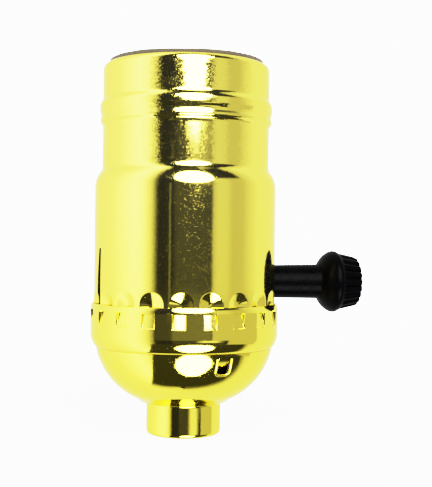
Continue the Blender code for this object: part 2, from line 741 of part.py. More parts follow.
def make_shaft(steel, brass):
    chamfer = 0.4 * MM
    foot = -10.4 * MM
    line = [
        (SHAFT_RADIUS - chamfer, foot),
        (SHAFT_RADIUS, foot + chamfer),
        (SHAFT_RADIUS, SHAFT_END - chamfer),
        (SHAFT_RADIUS - chamfer, SHAFT_END),
    ]
    pin("switch_shaft", line, steel, along_shaft(0), (1, 0, 0))
    rim, start, end = SHAFT_WELL, 6.1 * MM, 6.6 * MM
    clip = [(BORE_RADIUS, start), (rim, start), (rim, end), (BORE_RADIUS, end)]
    turned_on_shaft("shaft_clip", clip, steel)
    body, flange = 2.6 * MM, 4.2 * MM
    start, seat, end = 7.2 * MM, 14.9 * MM, 15.7 * MM
    section = [
        (BORE_RADIUS, start),
        (body, start),
        (body, seat),
        (flange, seat),
        (flange, end),
        (BORE_RADIUS, end),
    ]
    turned_on_shaft("shaft_bushing", section, brass, 20)


def make_rotor(phenolic, bronze):
    """The moulded rotor has a square cam for the detent and a drum that carries the contact."""
    start, end = -7.0 * MM, 5.8 * MM
    drum = [(BORE_RADIUS, start), (DRUM_RADIUS, start), (DRUM_RADIUS, end), (BORE_RADIUS, end)]
    rotor = turned_on_shaft("switch_rotor", drum, phenolic)
    half = ROTOR_HALF_SQUARE
    cam = block(
        "add_cam",
        Vector((-7.2 * MM, -half, KNOB_Z - half)),
        Vector((-3.6 * MM, half, KNOB_Z + half)),
    )
    join(rotor, cam)
    corner_radius = 3.6 * MM
    corner = rod("keep_cam_corner", corner_radius, along_shaft(-8 * MM), along_shaft(7 * MM), columns=24)
    boolean(rotor, corner, "INTERSECT")
    drill(rotor, "rotor_bore", BORE_RADIUS, along_shaft(-9 * MM), along_shaft(7 * MM))
    make_rotor_contact(bronze)


def make_rotor_contact(bronze):
    """A sleeve with two lobed discs: off, centre, ring and both, a quarter turn apart."""
    inner, sleeve = DRUM_RADIUS + GAP, DRUM_RADIUS + 0.6 * MM
    half = 0.4 * MM
    start, end = -1.8 * MM, 5.6 * MM
    section = [(inner, start), (sleeve, start)]
    for x in (CENTER_LOBE_X, RING_LOBE_X):
        section += [(sleeve, x - half), (LOBE_RADIUS, x - half), (LOBE_RADIUS, x + half), (sleeve, x + half)]
    section += [(sleeve, end), (inner, end)]
    lobe_half_angle = math.radians(31)
    lobes = {CENTER_LOBE_X: (90, 270), RING_LOBE_X: (180, 270)}

    def shift(r, z, angle, column):
        if r < LOBE_RADIUS:
            return r, angle
        disc = min(lobes, key=lambda x: abs(x - z))
        for middle in lobes[disc]:
            away = (angle - math.radians(middle) + math.pi) % (2 * math.pi) - math.pi
            if abs(away) < lobe_half_angle:
                return r, angle
        return sleeve + 0.2 * MM, angle

    # Turning +Z to +X takes the section's own +X to -Z, so angle 180 looks up at rest.
    turned_on_shaft("rotor_contact", section, bronze, 24, shift)


def knob_line():
    """Outer side of the knob: tube, domed back, rounded crest and fluted cone."""
    return [
        (KNOB_TUBE_RADIUS - 0.25 * MM, KNOB_START),
        (KNOB_TUBE_RADIUS, KNOB_START + 0.3 * MM),
        (KNOB_TUBE_RADIUS + 0.2 * MM, 28.2 * MM),
        (4.3 * MM, 28.6 * MM),
        (5.9 * MM, 30.0 * MM),
        (KNOB_CREST_RADIUS, KNOB_CREST_X - 0.3 * MM),
        (KNOB_CREST_RADIUS - 0.1 * MM, KNOB_CREST_X + 0.5 * MM),
        (5.95 * MM, KNOB_CREST_X + 1.2 * MM),
        (5.15 * MM, KNOB_END - 0.4 * MM),
        (4.8 * MM, KNOB_END),
    ]


def make_knob(phenolic, brass):
    bore, pocket = 2.1 * MM, 3.3 * MM
    pocket_start, pocket_end = 29.2 * MM, 34.8 * MM
    line = [
        (0.0, pocket_end),
        (pocket, pocket_end),
        (pocket, pocket_start),
        (bore, pocket_start),
        (bore, KNOB_START),
        *knob_line(),
        (0.0, KNOB_END),
    ]
    cone_start = KNOB_CREST_X + 1.0 * MM

    def shift(r, z, angle, column):
        if z < cone_start or r < pocket + 0.1 * MM:
            return r, angle - (column % 2) * 2 * math.pi / (2 * KNOB_FLUTES)
        return r - (column % 2) * KNOB_FLUTE_DEPTH, angle

    turned_on_shaft("turn_knob", line, phenolic, 2 * KNOB_FLUTES, shift, closed=False)
    inner, outer = BORE_RADIUS, pocket - GAP
    start, end = pocket_start + GAP, pocket_end - GAP
    section = [(inner, start), (outer, start), (outer, end), (inner, end)]
    turned_on_shaft("knob_insert", section, brass)


def main():
    clear_scene()
    plated_brass = material("plated_brass", (0.84, 0.74, 0.14), 0.12, 1.0)
    plain_brass = material("plain_brass", (0.78, 0.62, 0.30), 0.30, 1.0)
    bronze = material("contact_bronze", (0.72, 0.48, 0.26), 0.32, 1.0)
    aluminium = material("aluminium", (0.80, 0.80, 0.80), 0.30, 1.0)
    nickel = material("nickel_plate", (0.72, 0.70, 0.66), 0.25, 1.0)
    steel = material("zinc_steel", (0.60, 0.60, 0.60), 0.30, 1.0)
    black = material("black_phenolic", (0.012, 0.012, 0.013), 0.38, 0.0)
    fibre = material("grey_fibre", (0.36, 0.31, 0.27), 0.85, 0.0)
    make_cap(plated_brass)
    make_cap_liner(fibre)
    make_hub(plain_brass, steel)
    make_outer_shell(plated_brass)
    make_insulating_liner(fibre)
    make_screw_shell(aluminium)
    make_upper_insulator(black)
    make_contacts(bronze, plain_brass)
    make_switch_body(black)
    make_switch_cover(fibre)
    make_assembly_screws(steel)
    make_terminals(plain_brass, nickel)
    make_springs(bronze, steel)
    make_shaft(steel, plain_brass)
    make_rotor(black, bronze)
    make_knob(black, plain_brass)


main()
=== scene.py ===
"""Looks of the turn-knob lamp socket: polished brass plate, black phenolic knob, grey fibre liner.

The row frame: metres, +Z up the socket's axis, +X along the turn knob, origin at the hub's lower end.
"""

import json
import math

import bmesh
import bpy
import numpy as np
from mathutils import Matrix, Vector


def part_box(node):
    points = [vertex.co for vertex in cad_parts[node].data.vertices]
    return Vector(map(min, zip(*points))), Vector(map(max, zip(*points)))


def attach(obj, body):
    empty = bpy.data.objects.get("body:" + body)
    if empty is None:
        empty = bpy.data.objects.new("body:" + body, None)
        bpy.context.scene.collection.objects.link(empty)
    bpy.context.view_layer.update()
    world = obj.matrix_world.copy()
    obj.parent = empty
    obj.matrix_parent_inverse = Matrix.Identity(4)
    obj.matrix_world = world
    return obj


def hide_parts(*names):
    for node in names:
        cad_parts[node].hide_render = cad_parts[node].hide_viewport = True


MM = 0.001
FLUTES = 20  # dents round the shell's foot, and pockets round the cap's collar
FLUTE_PITCH = 2 * math.pi / FLUTES
FLUTE_TURN = math.radians(-102)
POCKET_TURN = math.radians(-103.1)
SLIT_TURN = math.radians(-164.5)
TONGUE_TURN = math.radians(-74.1)

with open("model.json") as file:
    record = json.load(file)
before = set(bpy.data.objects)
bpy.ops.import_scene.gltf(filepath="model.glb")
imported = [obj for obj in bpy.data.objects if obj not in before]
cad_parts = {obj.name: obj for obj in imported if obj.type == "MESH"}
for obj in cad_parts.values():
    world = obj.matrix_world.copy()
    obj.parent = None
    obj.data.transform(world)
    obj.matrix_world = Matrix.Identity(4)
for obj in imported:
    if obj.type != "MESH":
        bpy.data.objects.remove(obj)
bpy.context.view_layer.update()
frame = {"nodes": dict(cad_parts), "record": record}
NODES = frame["nodes"]


# Node helpers.


class Graph:
    """A short way to write a node tree: each method adds a node and returns its output."""

    def __init__(self, tree):
        self.tree = tree

    def add(self, kind, **settings):
        node = self.tree.nodes.new(kind)
        for key, value in settings.items():
            setattr(node, key, value)
        return node

    def feed(self, socket, value):
        if isinstance(value, bpy.types.NodeSocket):
            self.tree.links.new(value, socket)
        elif isinstance(value, (tuple, list, Vector)) and len(value) == 3 and socket.type == "RGBA":
            socket.default_value = (*value, 1.0)
        else:
            socket.default_value = value

    def math(self, operation, a, b=0.0, clamp=False):
        node = self.add("ShaderNodeMath", operation=operation, use_clamp=clamp)
        self.feed(node.inputs[0], a)
        self.feed(node.inputs[1], b)
        return node.outputs[0]

    def ramp(self, value, low, high, out_low=0.0, out_high=1.0, smooth=True):
        node = self.add("ShaderNodeMapRange", interpolation_type="SMOOTHSTEP" if smooth else "LINEAR")
        for socket, number in zip(node.inputs, (value, low, high, out_low, out_high)):
            self.feed(socket, number)
        return node.outputs[0]

    def mix(self, factor, a, b):
        node = self.add("ShaderNodeMix", data_type="RGBA")
        self.feed(node.inputs["Factor"], factor)
        self.feed(node.inputs["A"], a)
        self.feed(node.inputs["B"], b)
        return node.outputs["Result"]

    def place(self, stretch=(1, 1, 1)):
        """The object's own coordinates, in metres, stretched."""
        mapping = self.add("ShaderNodeMapping")
        self.feed(mapping.inputs["Scale"], stretch)
        self.feed(mapping.inputs["Vector"], self.add("ShaderNodeTexCoord").outputs["Object"])
        return mapping.outputs[0]

    def noise(self, scale, detail=2.0, rough=0.5, stretch=(1, 1, 1), distortion=0.0):
        node = self.add("ShaderNodeTexNoise")
        self.feed(node.inputs["Vector"], self.place(stretch))
        settings = {"Scale": scale, "Detail": detail, "Roughness": rough, "Distortion": distortion}
        for name, number in settings.items():
            self.feed(node.inputs[name], number)
        return node.outputs["Fac"]

    def cells(self, scale, feature="F1", stretch=(1, 1, 1)):
        node = self.add("ShaderNodeTexVoronoi", feature=feature)
        self.feed(node.inputs["Vector"], self.place(stretch))
        self.feed(node.inputs["Scale"], scale)
        return node.outputs["Distance"]

    def bump(self, height, distance, strength=1.0, under=None):
        node = self.add("ShaderNodeBump")
        self.feed(node.inputs["Height"], height)
        self.feed(node.inputs["Distance"], distance)
        self.feed(node.inputs["Strength"], strength)
        if under is not None:
            self.feed(node.inputs["Normal"], under)
        return node.outputs[0]


def material(name, **inputs):
    """A new material's graph. The inputs are the shader's own, with underscores for spaces."""
    made = bpy.data.materials.new(name)
    made.use_nodes = True
    graph = Graph(made.node_tree)
    graph.material = made
    graph.shader = made.node_tree.nodes["Principled BSDF"]
    for key, value in inputs.items():
        graph.feed(graph.shader.inputs[key.replace("_", " ")], value)
    return graph


# Materials.


def plated_brass():
    """Bright plate on drawn sheet: grain that is coarse on the neck, specks, scratches and smudges."""
    g = material(
        "plated_brass",
        Metallic=1.0,
        Specular_Tint=(1.0, 0.97, 0.66),
        Coat_Weight=0.08,
        Coat_Roughness=0.5,
    )
    # The base colour is a deeper, less blue yellow from the neck down to the hub, with random tone over
    # it.
    height = g.add("ShaderNodeSeparateXYZ")
    g.feed(height.inputs[0], g.add("ShaderNodeTexCoord").outputs["Object"])
    tone = g.noise(90, 3, 0.6)
    pale = g.mix(tone, (0.96, 0.815, 0.102), (0.94, 0.81, 0.118))
    deep = g.mix(tone, (0.955, 0.80, 0.062), (0.935, 0.795, 0.076))
    g.feed(g.shader.inputs["Base Color"], g.mix(g.ramp(height.outputs["Z"], 0.004, 0.056), deep, pale))
    smudge = g.ramp(g.noise(170, 5, 0.65, distortion=0.6), 0.48, 0.75)
    specks = g.ramp(g.noise(4300, 2, 0.5), 0.60, 0.70)
    scratch = g.ramp(g.cells(330, "DISTANCE_TO_EDGE", (1, 1, 0.4)), 0.0, 0.010, 1, 0)
    patch = g.ramp(g.noise(120, 2, distortion=1.0), 0.60, 0.68)
    marks = g.math("MAXIMUM", specks, g.math("MULTIPLY", scratch, patch))
    rough = g.math("ADD", g.ramp(smudge, 0, 1, 0.045, 0.12), g.math("MULTIPLY", marks, 0.12))
    g.feed(g.shader.inputs["Roughness"], rough)
    on_shell = g.ramp(height.outputs["Z"], 0.0262, 0.0268, 0.06, 0.30)
    on_neck = g.ramp(height.outputs["Z"], 0.0515, 0.0545)
    unevenness = g.math("SUBTRACT", g.noise(2300, 3, 0.6), 0.5)
    sway = g.math("MULTIPLY", unevenness, g.ramp(on_neck, 0, 1, 0.032, 0.2))
    ragged = leaning_sideways(g, sway)
    rough_skin = g.math("ADD", on_shell, g.math("MULTIPLY", on_neck, 0.2))
    grain = g.bump(g.noise(3800, 3, 0.6), 0.000006, rough_skin, ragged)
    drawn = g.bump(g.noise(230, 2, 0.5), 0.000012, 1.0, grain)
    g.feed(g.shader.inputs["Normal"], g.bump(marks, 0.000004, on_shell, drawn))
    return g.material


def leaning_sideways(g, amount):
    """The surface's normal leaned round the upright axis, which blurs reflections sideways only."""
    normal = g.add("ShaderNodeNewGeometry").outputs["Normal"]
    side = g.add("ShaderNodeVectorMath", operation="CROSS_PRODUCT")
    g.feed(side.inputs[0], (0.0, 0.0, 1.0))
    g.feed(side.inputs[1], normal)
    scaled = g.add("ShaderNodeVectorMath", operation="SCALE")
    g.feed(scaled.inputs[0], side.outputs[0])
    g.feed(scaled.inputs["Scale"], amount)
    total = g.add("ShaderNodeVectorMath", operation="ADD")
    g.feed(total.inputs[0], normal)
    g.feed(total.inputs[1], scaled.outputs[0])
    unit = g.add("ShaderNodeVectorMath", operation="NORMALIZE")
    g.feed(unit.inputs[0], total.outputs[0])
    return unit.outputs[0]


def turned_metal(name, colour, roughness, grain=(1, 1, 1), peel=0.000002):
    g = material(name, Metallic=1.0)
    stain = g.ramp(g.noise(420, 4, 0.6), 0.35, 0.75)
    darker = tuple(c * 0.72 for c in colour)
    g.feed(g.shader.inputs["Base Color"], g.mix(stain, colour, darker))
    lines = g.noise(1500, 3, 0.6, grain)
    g.feed(g.shader.inputs["Roughness"], g.ramp(lines, 0.3, 0.7, roughness - 0.07, roughness + 0.1))
    g.feed(g.shader.inputs["Normal"], g.bump(lines, peel))
    return g.material


def knob_phenolic():
    g = material("knob_phenolic", Specular_IOR_Level=0.013)
    cloud = g.noise(260, 4, 0.6)
    g.feed(g.shader.inputs["Base Color"], g.mix(cloud, (0.0002, 0.0002, 0.0003), (0.0007, 0.0007, 0.0009)))
    g.feed(g.shader.inputs["Roughness"], g.ramp(g.noise(900, 4, 0.7), 0.3, 0.75, 0.24, 0.42))
    skin = g.bump(g.noise(1400, 4, 0.6), 0.000010)
    g.feed(g.shader.inputs["Normal"], g.bump(g.noise(5200, 2, 0.6), 0.000003, 1.0, skin))
    return g.material


def black_phenolic():
    g = material("black_phenolic", Specular_IOR_Level=0.18)
    cloud = g.noise(300, 4, 0.65)
    g.feed(g.shader.inputs["Base Color"], g.mix(cloud, (0.0035, 0.003, 0.003), (0.011, 0.009, 0.008)))
    g.feed(g.shader.inputs["Roughness"], g.ramp(g.noise(800, 4, 0.7), 0.3, 0.75, 0.38, 0.62))
    g.feed(g.shader.inputs["Normal"], g.bump(g.noise(2400, 3, 0.6), 0.000010))
    return g.material


def grey_fibre():
    """Pressed fibre: matted strands, mottled grey-brown, fuzzy at its cut edge."""
    g = material("grey_fibre", Specular_IOR_Level=0.2, Sheen_Weight=0.15)
    strands = g.noise(1500, 5, 0.7, (1, 1, 4))
    mottle = g.noise(260, 4, 0.6)
    light = g.mix(strands, (0.046, 0.036, 0.020), (0.100, 0.081, 0.048))
    g.feed(g.shader.inputs["Base Color"], g.mix(g.ramp(mottle, 0.4, 0.8), light, (0.058, 0.046, 0.028)))
    g.feed(g.shader.inputs["Roughness"], g.ramp(strands, 0.2, 0.8, 0.75, 0.95))
    g.feed(g.shader.inputs["Normal"], g.bump(strands, 0.00005, 0.8))
    return g.material


LOOKS = {
    "plated_brass": plated_brass(),
    "plain_brass": turned_metal("plain_brass", (0.80, 0.60, 0.27), 0.26, (1, 1, 6)),
    "contact_bronze": turned_metal("contact_bronze", (0.78, 0.50, 0.28), 0.24, (8, 1, 1)),
    "aluminium": turned_metal("aluminium", (0.82, 0.82, 0.83), 0.24, (1, 1, 6)),
    "nickel_plate": turned_metal("nickel_plate", (0.70, 0.68, 0.63), 0.20, (1, 1, 1)),
    "zinc_steel": turned_metal("zinc_steel", (0.60, 0.60, 0.61), 0.27, (1, 1, 1)),
    "black_phenolic": black_phenolic(),
    "knob_phenolic": knob_phenolic(),
    "grey_fibre": grey_fibre(),
}
SLOT_OF = {part["node"]: part["material_slot"] for part in frame["record"]["subparts"]}
BODY_OF = {node: body for body, nodes in frame["record"]["behaviour"]["bodies"].items() for node in nodes}


# Mesh helpers.


def arc(center, radius, first, last, steps):
    """Points on an arc in the (r, z) plane, angles in degrees from +r."""
    turn = np.radians(np.linspace(first, last, steps + 1))
    return [(center[0] + radius * math.cos(t), center[1] + radius * math.sin(t)) for t in turn]


def span(first, last, steps):
    """Evenly spaced points on a straight line, both ends included."""
    return [tuple(p) for p in np.linspace(first, last, steps + 1)]


def offset(line, distance):
    """The line moved to the left of its own direction."""
    points = np.array(line)
    along = np.diff(points, axis=0)
    along /= np.linalg.norm(along, axis=1)[:, None]
    normals = np.stack([-along[:, 1], along[:, 0]], 1)
    before = np.vstack([normals[:1], normals])
    after = np.vstack([normals, normals[-1:]])
    mitre = before + after
    mitre /= np.linalg.norm(mitre, axis=1)[:, None]
    reach = distance / np.maximum((mitre * after).sum(1), 0.5)
    return [tuple(p) for p in points + mitre * reach[:, None]]


def thinned(line, step):
    """Every step-th point of a line, with its last one kept."""
    return line[:-1:step] + line[-1:]


def even_angles(count):
    return np.linspace(0, 2 * math.pi, count, endpoint=False)


def repeated_angles(offsets, start):
    """The same offsets, in degrees, in every flute pitch."""
    pitches = start + FLUTE_PITCH * np.arange(FLUTES)
    return (pitches[:, None] + np.radians(offsets)[None, :]).ravel()


def turned(name, line, angles, loop=True, shape=None, origin=(0, 0, 0), axis=(0, 0, 1)):
    """A turned mesh. line is (r, z) points; shape(r, angle, z) may move the grid's points."""
    line = np.array(line, float)
    r = np.repeat(line[:, :1], len(angles), 1)
    z = np.repeat(line[:, 1:], len(angles), 1)
    a = np.repeat(np.asarray(angles)[None, :], len(line), 0)
    if shape:
        r, a, z = shape(r, a, z)
    points = np.stack([r * np.cos(a), r * np.sin(a), z], -1).reshape(-1, 3)
    rows, columns = len(line), len(angles)
    low = np.arange(rows if loop else rows - 1)
    i, j = np.meshgrid(low, np.arange(columns), indexing="ij")
    up, right = (i + 1) % rows, (j + 1) % columns
    faces = np.stack([i * columns + j, i * columns + right, up * columns + right, up * columns + j], -1)
    mesh = bpy.data.meshes.new(name)
    mesh.from_pydata(points.tolist(), [], faces.reshape(-1, 4).tolist())
    made = bpy.data.objects.new(name, mesh)
    bpy.context.scene.collection.objects.link(made)
    turn = Vector((0, 0, 1)).rotation_difference(Vector(axis)).to_matrix().to_4x4()
    made.data.transform(Matrix.Translation(origin) @ turn)
    return tidy(made)


def tidy(made, sharp=38):
    """Merges doubled points, turns the faces outwards and shades smooth up to an angle."""
    bm = bmesh.new()
    bm.from_mesh(made.data)
    bmesh.ops.remove_doubles(bm, verts=bm.verts, dist=1e-7)
    bmesh.ops.recalc_face_normals(bm, faces=bm.faces)
    bm.to_mesh(made.data)
    bm.free()
    made.data.shade_smooth()
    made.data.set_sharp_from_angle(angle=math.radians(sharp))
    return made


def block(name, low, high, origin=(0, 0, 0), turn=None):
    low, high = Vector(low), Vector(high)
    mesh = bpy.data.meshes.new(name)
    bm = bmesh.new()
    bmesh.ops.create_cube(bm, size=1)
    bmesh.ops.scale(bm, vec=high - low, verts=bm.verts)
    bmesh.ops.translate(bm, vec=(low + high) / 2, verts=bm.verts)
    bm.to_mesh(mesh)
    bm.free()
    made = bpy.data.objects.new(name, mesh)
    bpy.context.scene.collection.objects.link(made)
    matrix = Matrix.Translation(origin) @ (turn.to_4x4() if turn else Matrix.Identity(4))
    made.data.transform(matrix)
    return made


def rod(name, radius, start, end, columns=32):
    start, end = Vector(start), Vector(end)
    length = (end - start).length
    angles = even_angles(columns) + 0.013
    line = [(0, 0), (radius, 0), (radius, length), (0, length)]
    return turned(name, line, angles, False, None, start, end - start)


def cut(target, *cutters):
    """Cuts the cutters out of the target and keeps the result in its mesh."""
    for cutter in cutters:
        modifier = target.modifiers.new("cut", "BOOLEAN")
        modifier.operation = "DIFFERENCE"
        modifier.solver = "EXACT"
        modifier.object = cutter
    settle(target)
    for cutter in cutters:
        bpy.data.objects.remove(cutter)
    return tidy(target)


def settle(target):
    """Applies the target's modifiers."""
    graph = bpy.context.evaluated_depsgraph_get()
    graph.update()
    mesh = bpy.data.meshes.new_from_object(target.evaluated_get(graph))
    target.modifiers.clear()
    target.data = mesh


def soften(target, width, segments=2):
    """Rounds the target's sharp edges with a bevel that stays live."""
    modifier = target.modifiers.new("edge", "BEVEL")
    modifier.width = width
    modifier.segments = segments
    modifier.limit_method = "ANGLE"
    modifier.angle_limit = math.radians(40)
    modifier.harden_normals = False
    modifier.use_clamp_overlap = True


def dress(made, node):
    """Gives a piece a node's finish, and lets it ride on that node's body."""
    made.data.materials.clear()
    made.data.materials.append(LOOKS[SLOT_OF[node]])
    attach(made, BODY_OF[node])
    return made


def replace(made, node):
    """The same, with the piece standing for the node."""
    dress(made, node)
    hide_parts(node)
    return made


def nearest(angle, start):
    """Signed angle from the nearest flute."""
    return (angle - start + FLUTE_PITCH / 2) % FLUTE_PITCH - FLUTE_PITCH / 2


def polar(radius, angle, z):
    return Vector((radius * math.cos(angle), radius * math.sin(angle), z))


# Outer shell.

SHEET = 0.35 * MM  # brass sheet of the shell and the cap
SHELL_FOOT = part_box("outer_shell")[0].z
SHELL_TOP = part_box("outer_shell")[1].z
SHELL_RADIUS = 18.3 * MM
NECK_RADIUS = 16.85 * MM
SHOULDER_Z = 49.6 * MM  # where the wide part starts to turn in
SHOULDER_RADIUS = 5.0 * MM
FILLET_RADIUS = 2.0 * MM
SHOULDER_LEAN = 35  # degrees between the two arcs
RIM_RADIUS = 1.2 * MM
UPPER_BEAD_Z = 65.1 * MM
LOWER_BEAD_Z = 62.75 * MM
SLIT_HEIGHT = 17 * MM
SLOT_HALF_WIDTH = 5.0 * MM
SLOT_CENTER = 32.5 * MM
DENT_Z = 26.95 * MM
DENT_RADIUS = 2.35 * MM
DENT_DEPTH = 0.75 * MM
FOOT_STEP = 0.5 * MM  # the shell is this much slimmer inside the collar
FOOT_STEP_LOW = 25.5 * MM
FOOT_STEP_HIGH = 26.05 * MM
KNOB_Z = (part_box("turn_knob")[0].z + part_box("turn_knob")[1].z) / 2
ON_SHAFT = (0, 0, KNOB_Z)
ALONG_SHAFT = (1, 0, 0)


def bead(z):
    """How far the double bead stands out at z: a stepped crest, a valley and a lower crest."""
    upper, lower = z - UPPER_BEAD_Z, z - LOWER_BEAD_Z
    upper_crest = np.exp(-np.where(upper > 0, np.abs(upper / (1.75 * MM)) ** 5, (upper / (1.1 * MM)) ** 2))
    lower_crest = np.exp(-((lower / (np.where(lower > 0, 1.15, 0.55) * MM)) ** 2))
    return 0.6 * MM * upper_crest + 0.53 * MM * lower_crest


def shell_line():
    """Outer side of the shell from its foot to its turned-in rim."""
    turn = math.radians(SHOULDER_LEAN)
    both_arcs = SHOULDER_RADIUS + FILLET_RADIUS
    straight = (SHELL_RADIUS - NECK_RADIUS - both_arcs * (1 - math.cos(turn))) / math.sin(turn)
    shoulder = (SHELL_RADIUS - SHOULDER_RADIUS, SHOULDER_Z)
    fillet_z = SHOULDER_Z + both_arcs * math.sin(turn) + straight * math.cos(turn)
    fillet = (NECK_RADIUS + FILLET_RADIUS, fillet_z)
    rim = (NECK_RADIUS - RIM_RADIUS, SHELL_TOP - RIM_RADIUS * math.sin(math.radians(75)))
    dent_top = DENT_Z + DENT_RADIUS
    neck_top = SHELL_TOP - RIM_RADIUS - 0.6 * MM
    neck = span((NECK_RADIUS, fillet_z + 0.5 * MM), (NECK_RADIUS, neck_top), 100)
    return [
        *span((SHELL_RADIUS, SHELL_FOOT), (SHELL_RADIUS, FOOT_STEP_LOW), 3),
        *span((SHELL_RADIUS, FOOT_STEP_HIGH), (SHELL_RADIUS, dent_top + 0.2 * MM), 20),
        *span((SHELL_RADIUS, dent_top + 1 * MM), (SHELL_RADIUS, SHOULDER_Z - 0.4 * MM), 8),
        *arc(shoulder, SHOULDER_RADIUS, 0, SHOULDER_LEAN, 14),
        *arc(fillet, FILLET_RADIUS, 180 + SHOULDER_LEAN, 180, 10),
        *[(r + float(bead(z)), z) for r, z in neck],
        *arc(rim, RIM_RADIUS, 0, 75, 9),
    ]


def dented(r, a, z):
    """Presses a round dent, open below, at every flute, and slims the foot inside the collar."""
    away = nearest(a, FLUTE_TURN) * SHELL_RADIUS
    up = np.maximum(z - DENT_Z, 0)
    distance = np.hypot(away, up)
    # Points close to a dent's rim move onto it, so that the rim is a clean circle.
    at_rim = (np.abs(distance - DENT_RADIUS) < 0.085 * MM) & (z < DENT_Z + DENT_RADIUS + 0.3 * MM)
    factor = np.where(at_rim, DENT_RADIUS / np.maximum(distance, 1e-9), 1)
    a = a + away * (factor - 1) / SHELL_RADIUS
    z = np.where(up > 0, z + up * (factor - 1), z)
    share = np.clip(1 - (distance * factor / DENT_RADIUS) ** 1.4, 0, 1)
    dent = np.where(z < DENT_Z + 3 * MM, DENT_DEPTH * share, 0)
    step = FOOT_STEP * np.clip((FOOT_STEP_HIGH - z) / (FOOT_STEP_HIGH - FOOT_STEP_LOW), 0, 1)
    return r - np.maximum(dent, step), a, z


def make_outer_shell():
    offsets = [0, 0.9, 1.8, 2.7, 3.6, 4.5, 5.4, 6.2, 6.8, 7.36, 7.9]
    offsets = sorted({-o for o in offsets} | set(offsets))
    line = shell_line()
    inside = thinned(offset(line, SHEET), 3)
    angles = repeated_angles(offsets, FLUTE_TURN)
    shell = turned("outer_shell_fine", [*line, *reversed(inside)], angles, shape=dented)
    slit = block(
        "slit",
        (-2 * MM, -1 * MM, -1 * MM),
        (1 * MM, 1 * MM, SLIT_HEIGHT),
        polar(SHELL_RADIUS, SLIT_TURN, SHELL_FOOT),
        Matrix.Rotation(SLIT_TURN, 3, "Z"),
    )
    bow(slit, SHELL_FOOT, SHELL_FOOT + SLIT_HEIGHT)
    cut(shell, slit, *slot_cutters())
    replace(shell, "outer_shell")


def bow(cutter, foot, top):
    """Bends a slit sideways and points its upper end."""
    bm = bmesh.new()
    bm.from_mesh(cutter.data)
    tall = [e for e in bm.edges if abs(e.verts[0].co.z - e.verts[1].co.z) > 1 * MM]
    bmesh.ops.subdivide_edges(bm, edges=tall, cuts=12, use_grid_fill=True)
    side = Vector((-math.sin(SLIT_TURN), math.cos(SLIT_TURN), 0))
    middle = polar(SHELL_RADIUS, SLIT_TURN, 0)
    for v in bm.verts:
        share = (v.co.z - foot) / (top - foot)
        across = (v.co - middle).dot(side)
        narrow = 1 - 0.55 * max(share, 0) ** 2
        bend = 0.55 * MM * math.sin(math.pi * min(max(share, 0), 1))
        v.co += side * (across * (narrow - 1) - bend)
    bm.to_mesh(cutter.data)
    bm.free()


def slot_cutters():
    """The slot for the switch shaft: a round top and a straight way down to the foot."""
    near, far, half = 12 * MM, 22 * MM, SLOT_HALF_WIDTH
    top = rod("slot_top", half, (near, 0, SLOT_CENTER), (far, 0, SLOT_CENTER), 48)
    straight = block("slot", (near, -half, SHELL_FOOT - 1 * MM), (far, half, SLOT_CENTER))
    return top, straight


# Cap.

COLLAR_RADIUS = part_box("cap")[1].x
COLLAR_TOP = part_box("cap")[1].z
HUB_RADIUS = 7.55 * MM
DOME_CENTER = np.array((3.9, 20.3)) * MM
DOME_RADIUS = 14.2 * MM
POCKET_LOW = 22.45 * MM
POCKET_HIGH = 25.35 * MM
POCKET_WALL = 0.14 * MM  # height over which a pocket's floor rises to the collar
TONGUE_LOW = 13.6 * MM
TONGUE_HIGH = 17.0 * MM
TONGUE_HALF_WIDTH = 1.5 * MM
WINDOW_CORNER = 0.9 * MM
SET_SCREW_Z = 3.4 * MM
SET_SCREW_HOLE = 2.1 * MM


def cap_line():
    """Outer side of the cap, from the lip under the hub to the collar's mouth."""
    edge, lip = 0.85 * MM, 5.9 * MM
    lip_arc = 2.5 * MM
    lip_z = COLLAR_TOP - 1.25 * MM
    collar_turn = 4.7 * MM
    return [
        (lip, 0.0),
        *arc((HUB_RADIUS - edge, edge), edge, -90, 0, 8),
        *span((HUB_RADIUS, 1.2 * MM), (HUB_RADIUS, 6.0 * MM), 6),
        *arc((HUB_RADIUS + 0.3 * MM, 6.25 * MM), 0.3 * MM, 180, 120, 2),
        *arc((HUB_RADIUS + 0.28 * MM, 6.75 * MM), 0.28 * MM, -60, 80, 6),
        *arc((8.75 * MM, 7.45 * MM), 0.75 * MM, 205, 285, 5),
        *arc(DOME_CENTER, DOME_RADIUS, -67, -10.5, 44),
        *arc((17.281 * MM, 18.8 * MM), 1.2 * MM, -65, -30, 6),
        *arc((COLLAR_RADIUS - collar_turn, 20.55 * MM), collar_turn, -29, 0, 9),
        *span((COLLAR_RADIUS, 21.2 * MM), (COLLAR_RADIUS, POCKET_LOW - 0.1 * MM), 3),
        *span((COLLAR_RADIUS, POCKET_LOW), (COLLAR_RADIUS, POCKET_LOW + POCKET_WALL), 3),
        *span((COLLAR_RADIUS, POCKET_LOW + 0.3 * MM), (COLLAR_RADIUS, POCKET_HIGH - 0.3 * MM), 5),
        *span((COLLAR_RADIUS, POCKET_HIGH - POCKET_WALL), (COLLAR_RADIUS, POCKET_HIGH), 3),
        *arc((COLLAR_RADIUS - lip_arc, lip_z), lip_arc, 1, 26, 7),
    ]


def smooth_step(value, low, high):
    share = np.clip((value - low) / (high - low), 0, 1)
    return share * share * (3 - 2 * share)


def pocketed(r, a, z):
    """Presses square pockets into the collar, deeper towards the top."""
    away = np.abs(np.degrees(nearest(a, POCKET_TURN)))
    across = 1 - smooth_step(away, 3.45, 4.05)
    above = smooth_step(z, POCKET_LOW, POCKET_LOW + POCKET_WALL)
    below = 1 - smooth_step(z, POCKET_HIGH - POCKET_WALL, POCKET_HIGH)
    share = (z - POCKET_LOW) / (POCKET_HIGH - POCKET_LOW)
    depth = (0.12 + 0.56 * share) * MM
    return r - depth * across * above * below, a, z


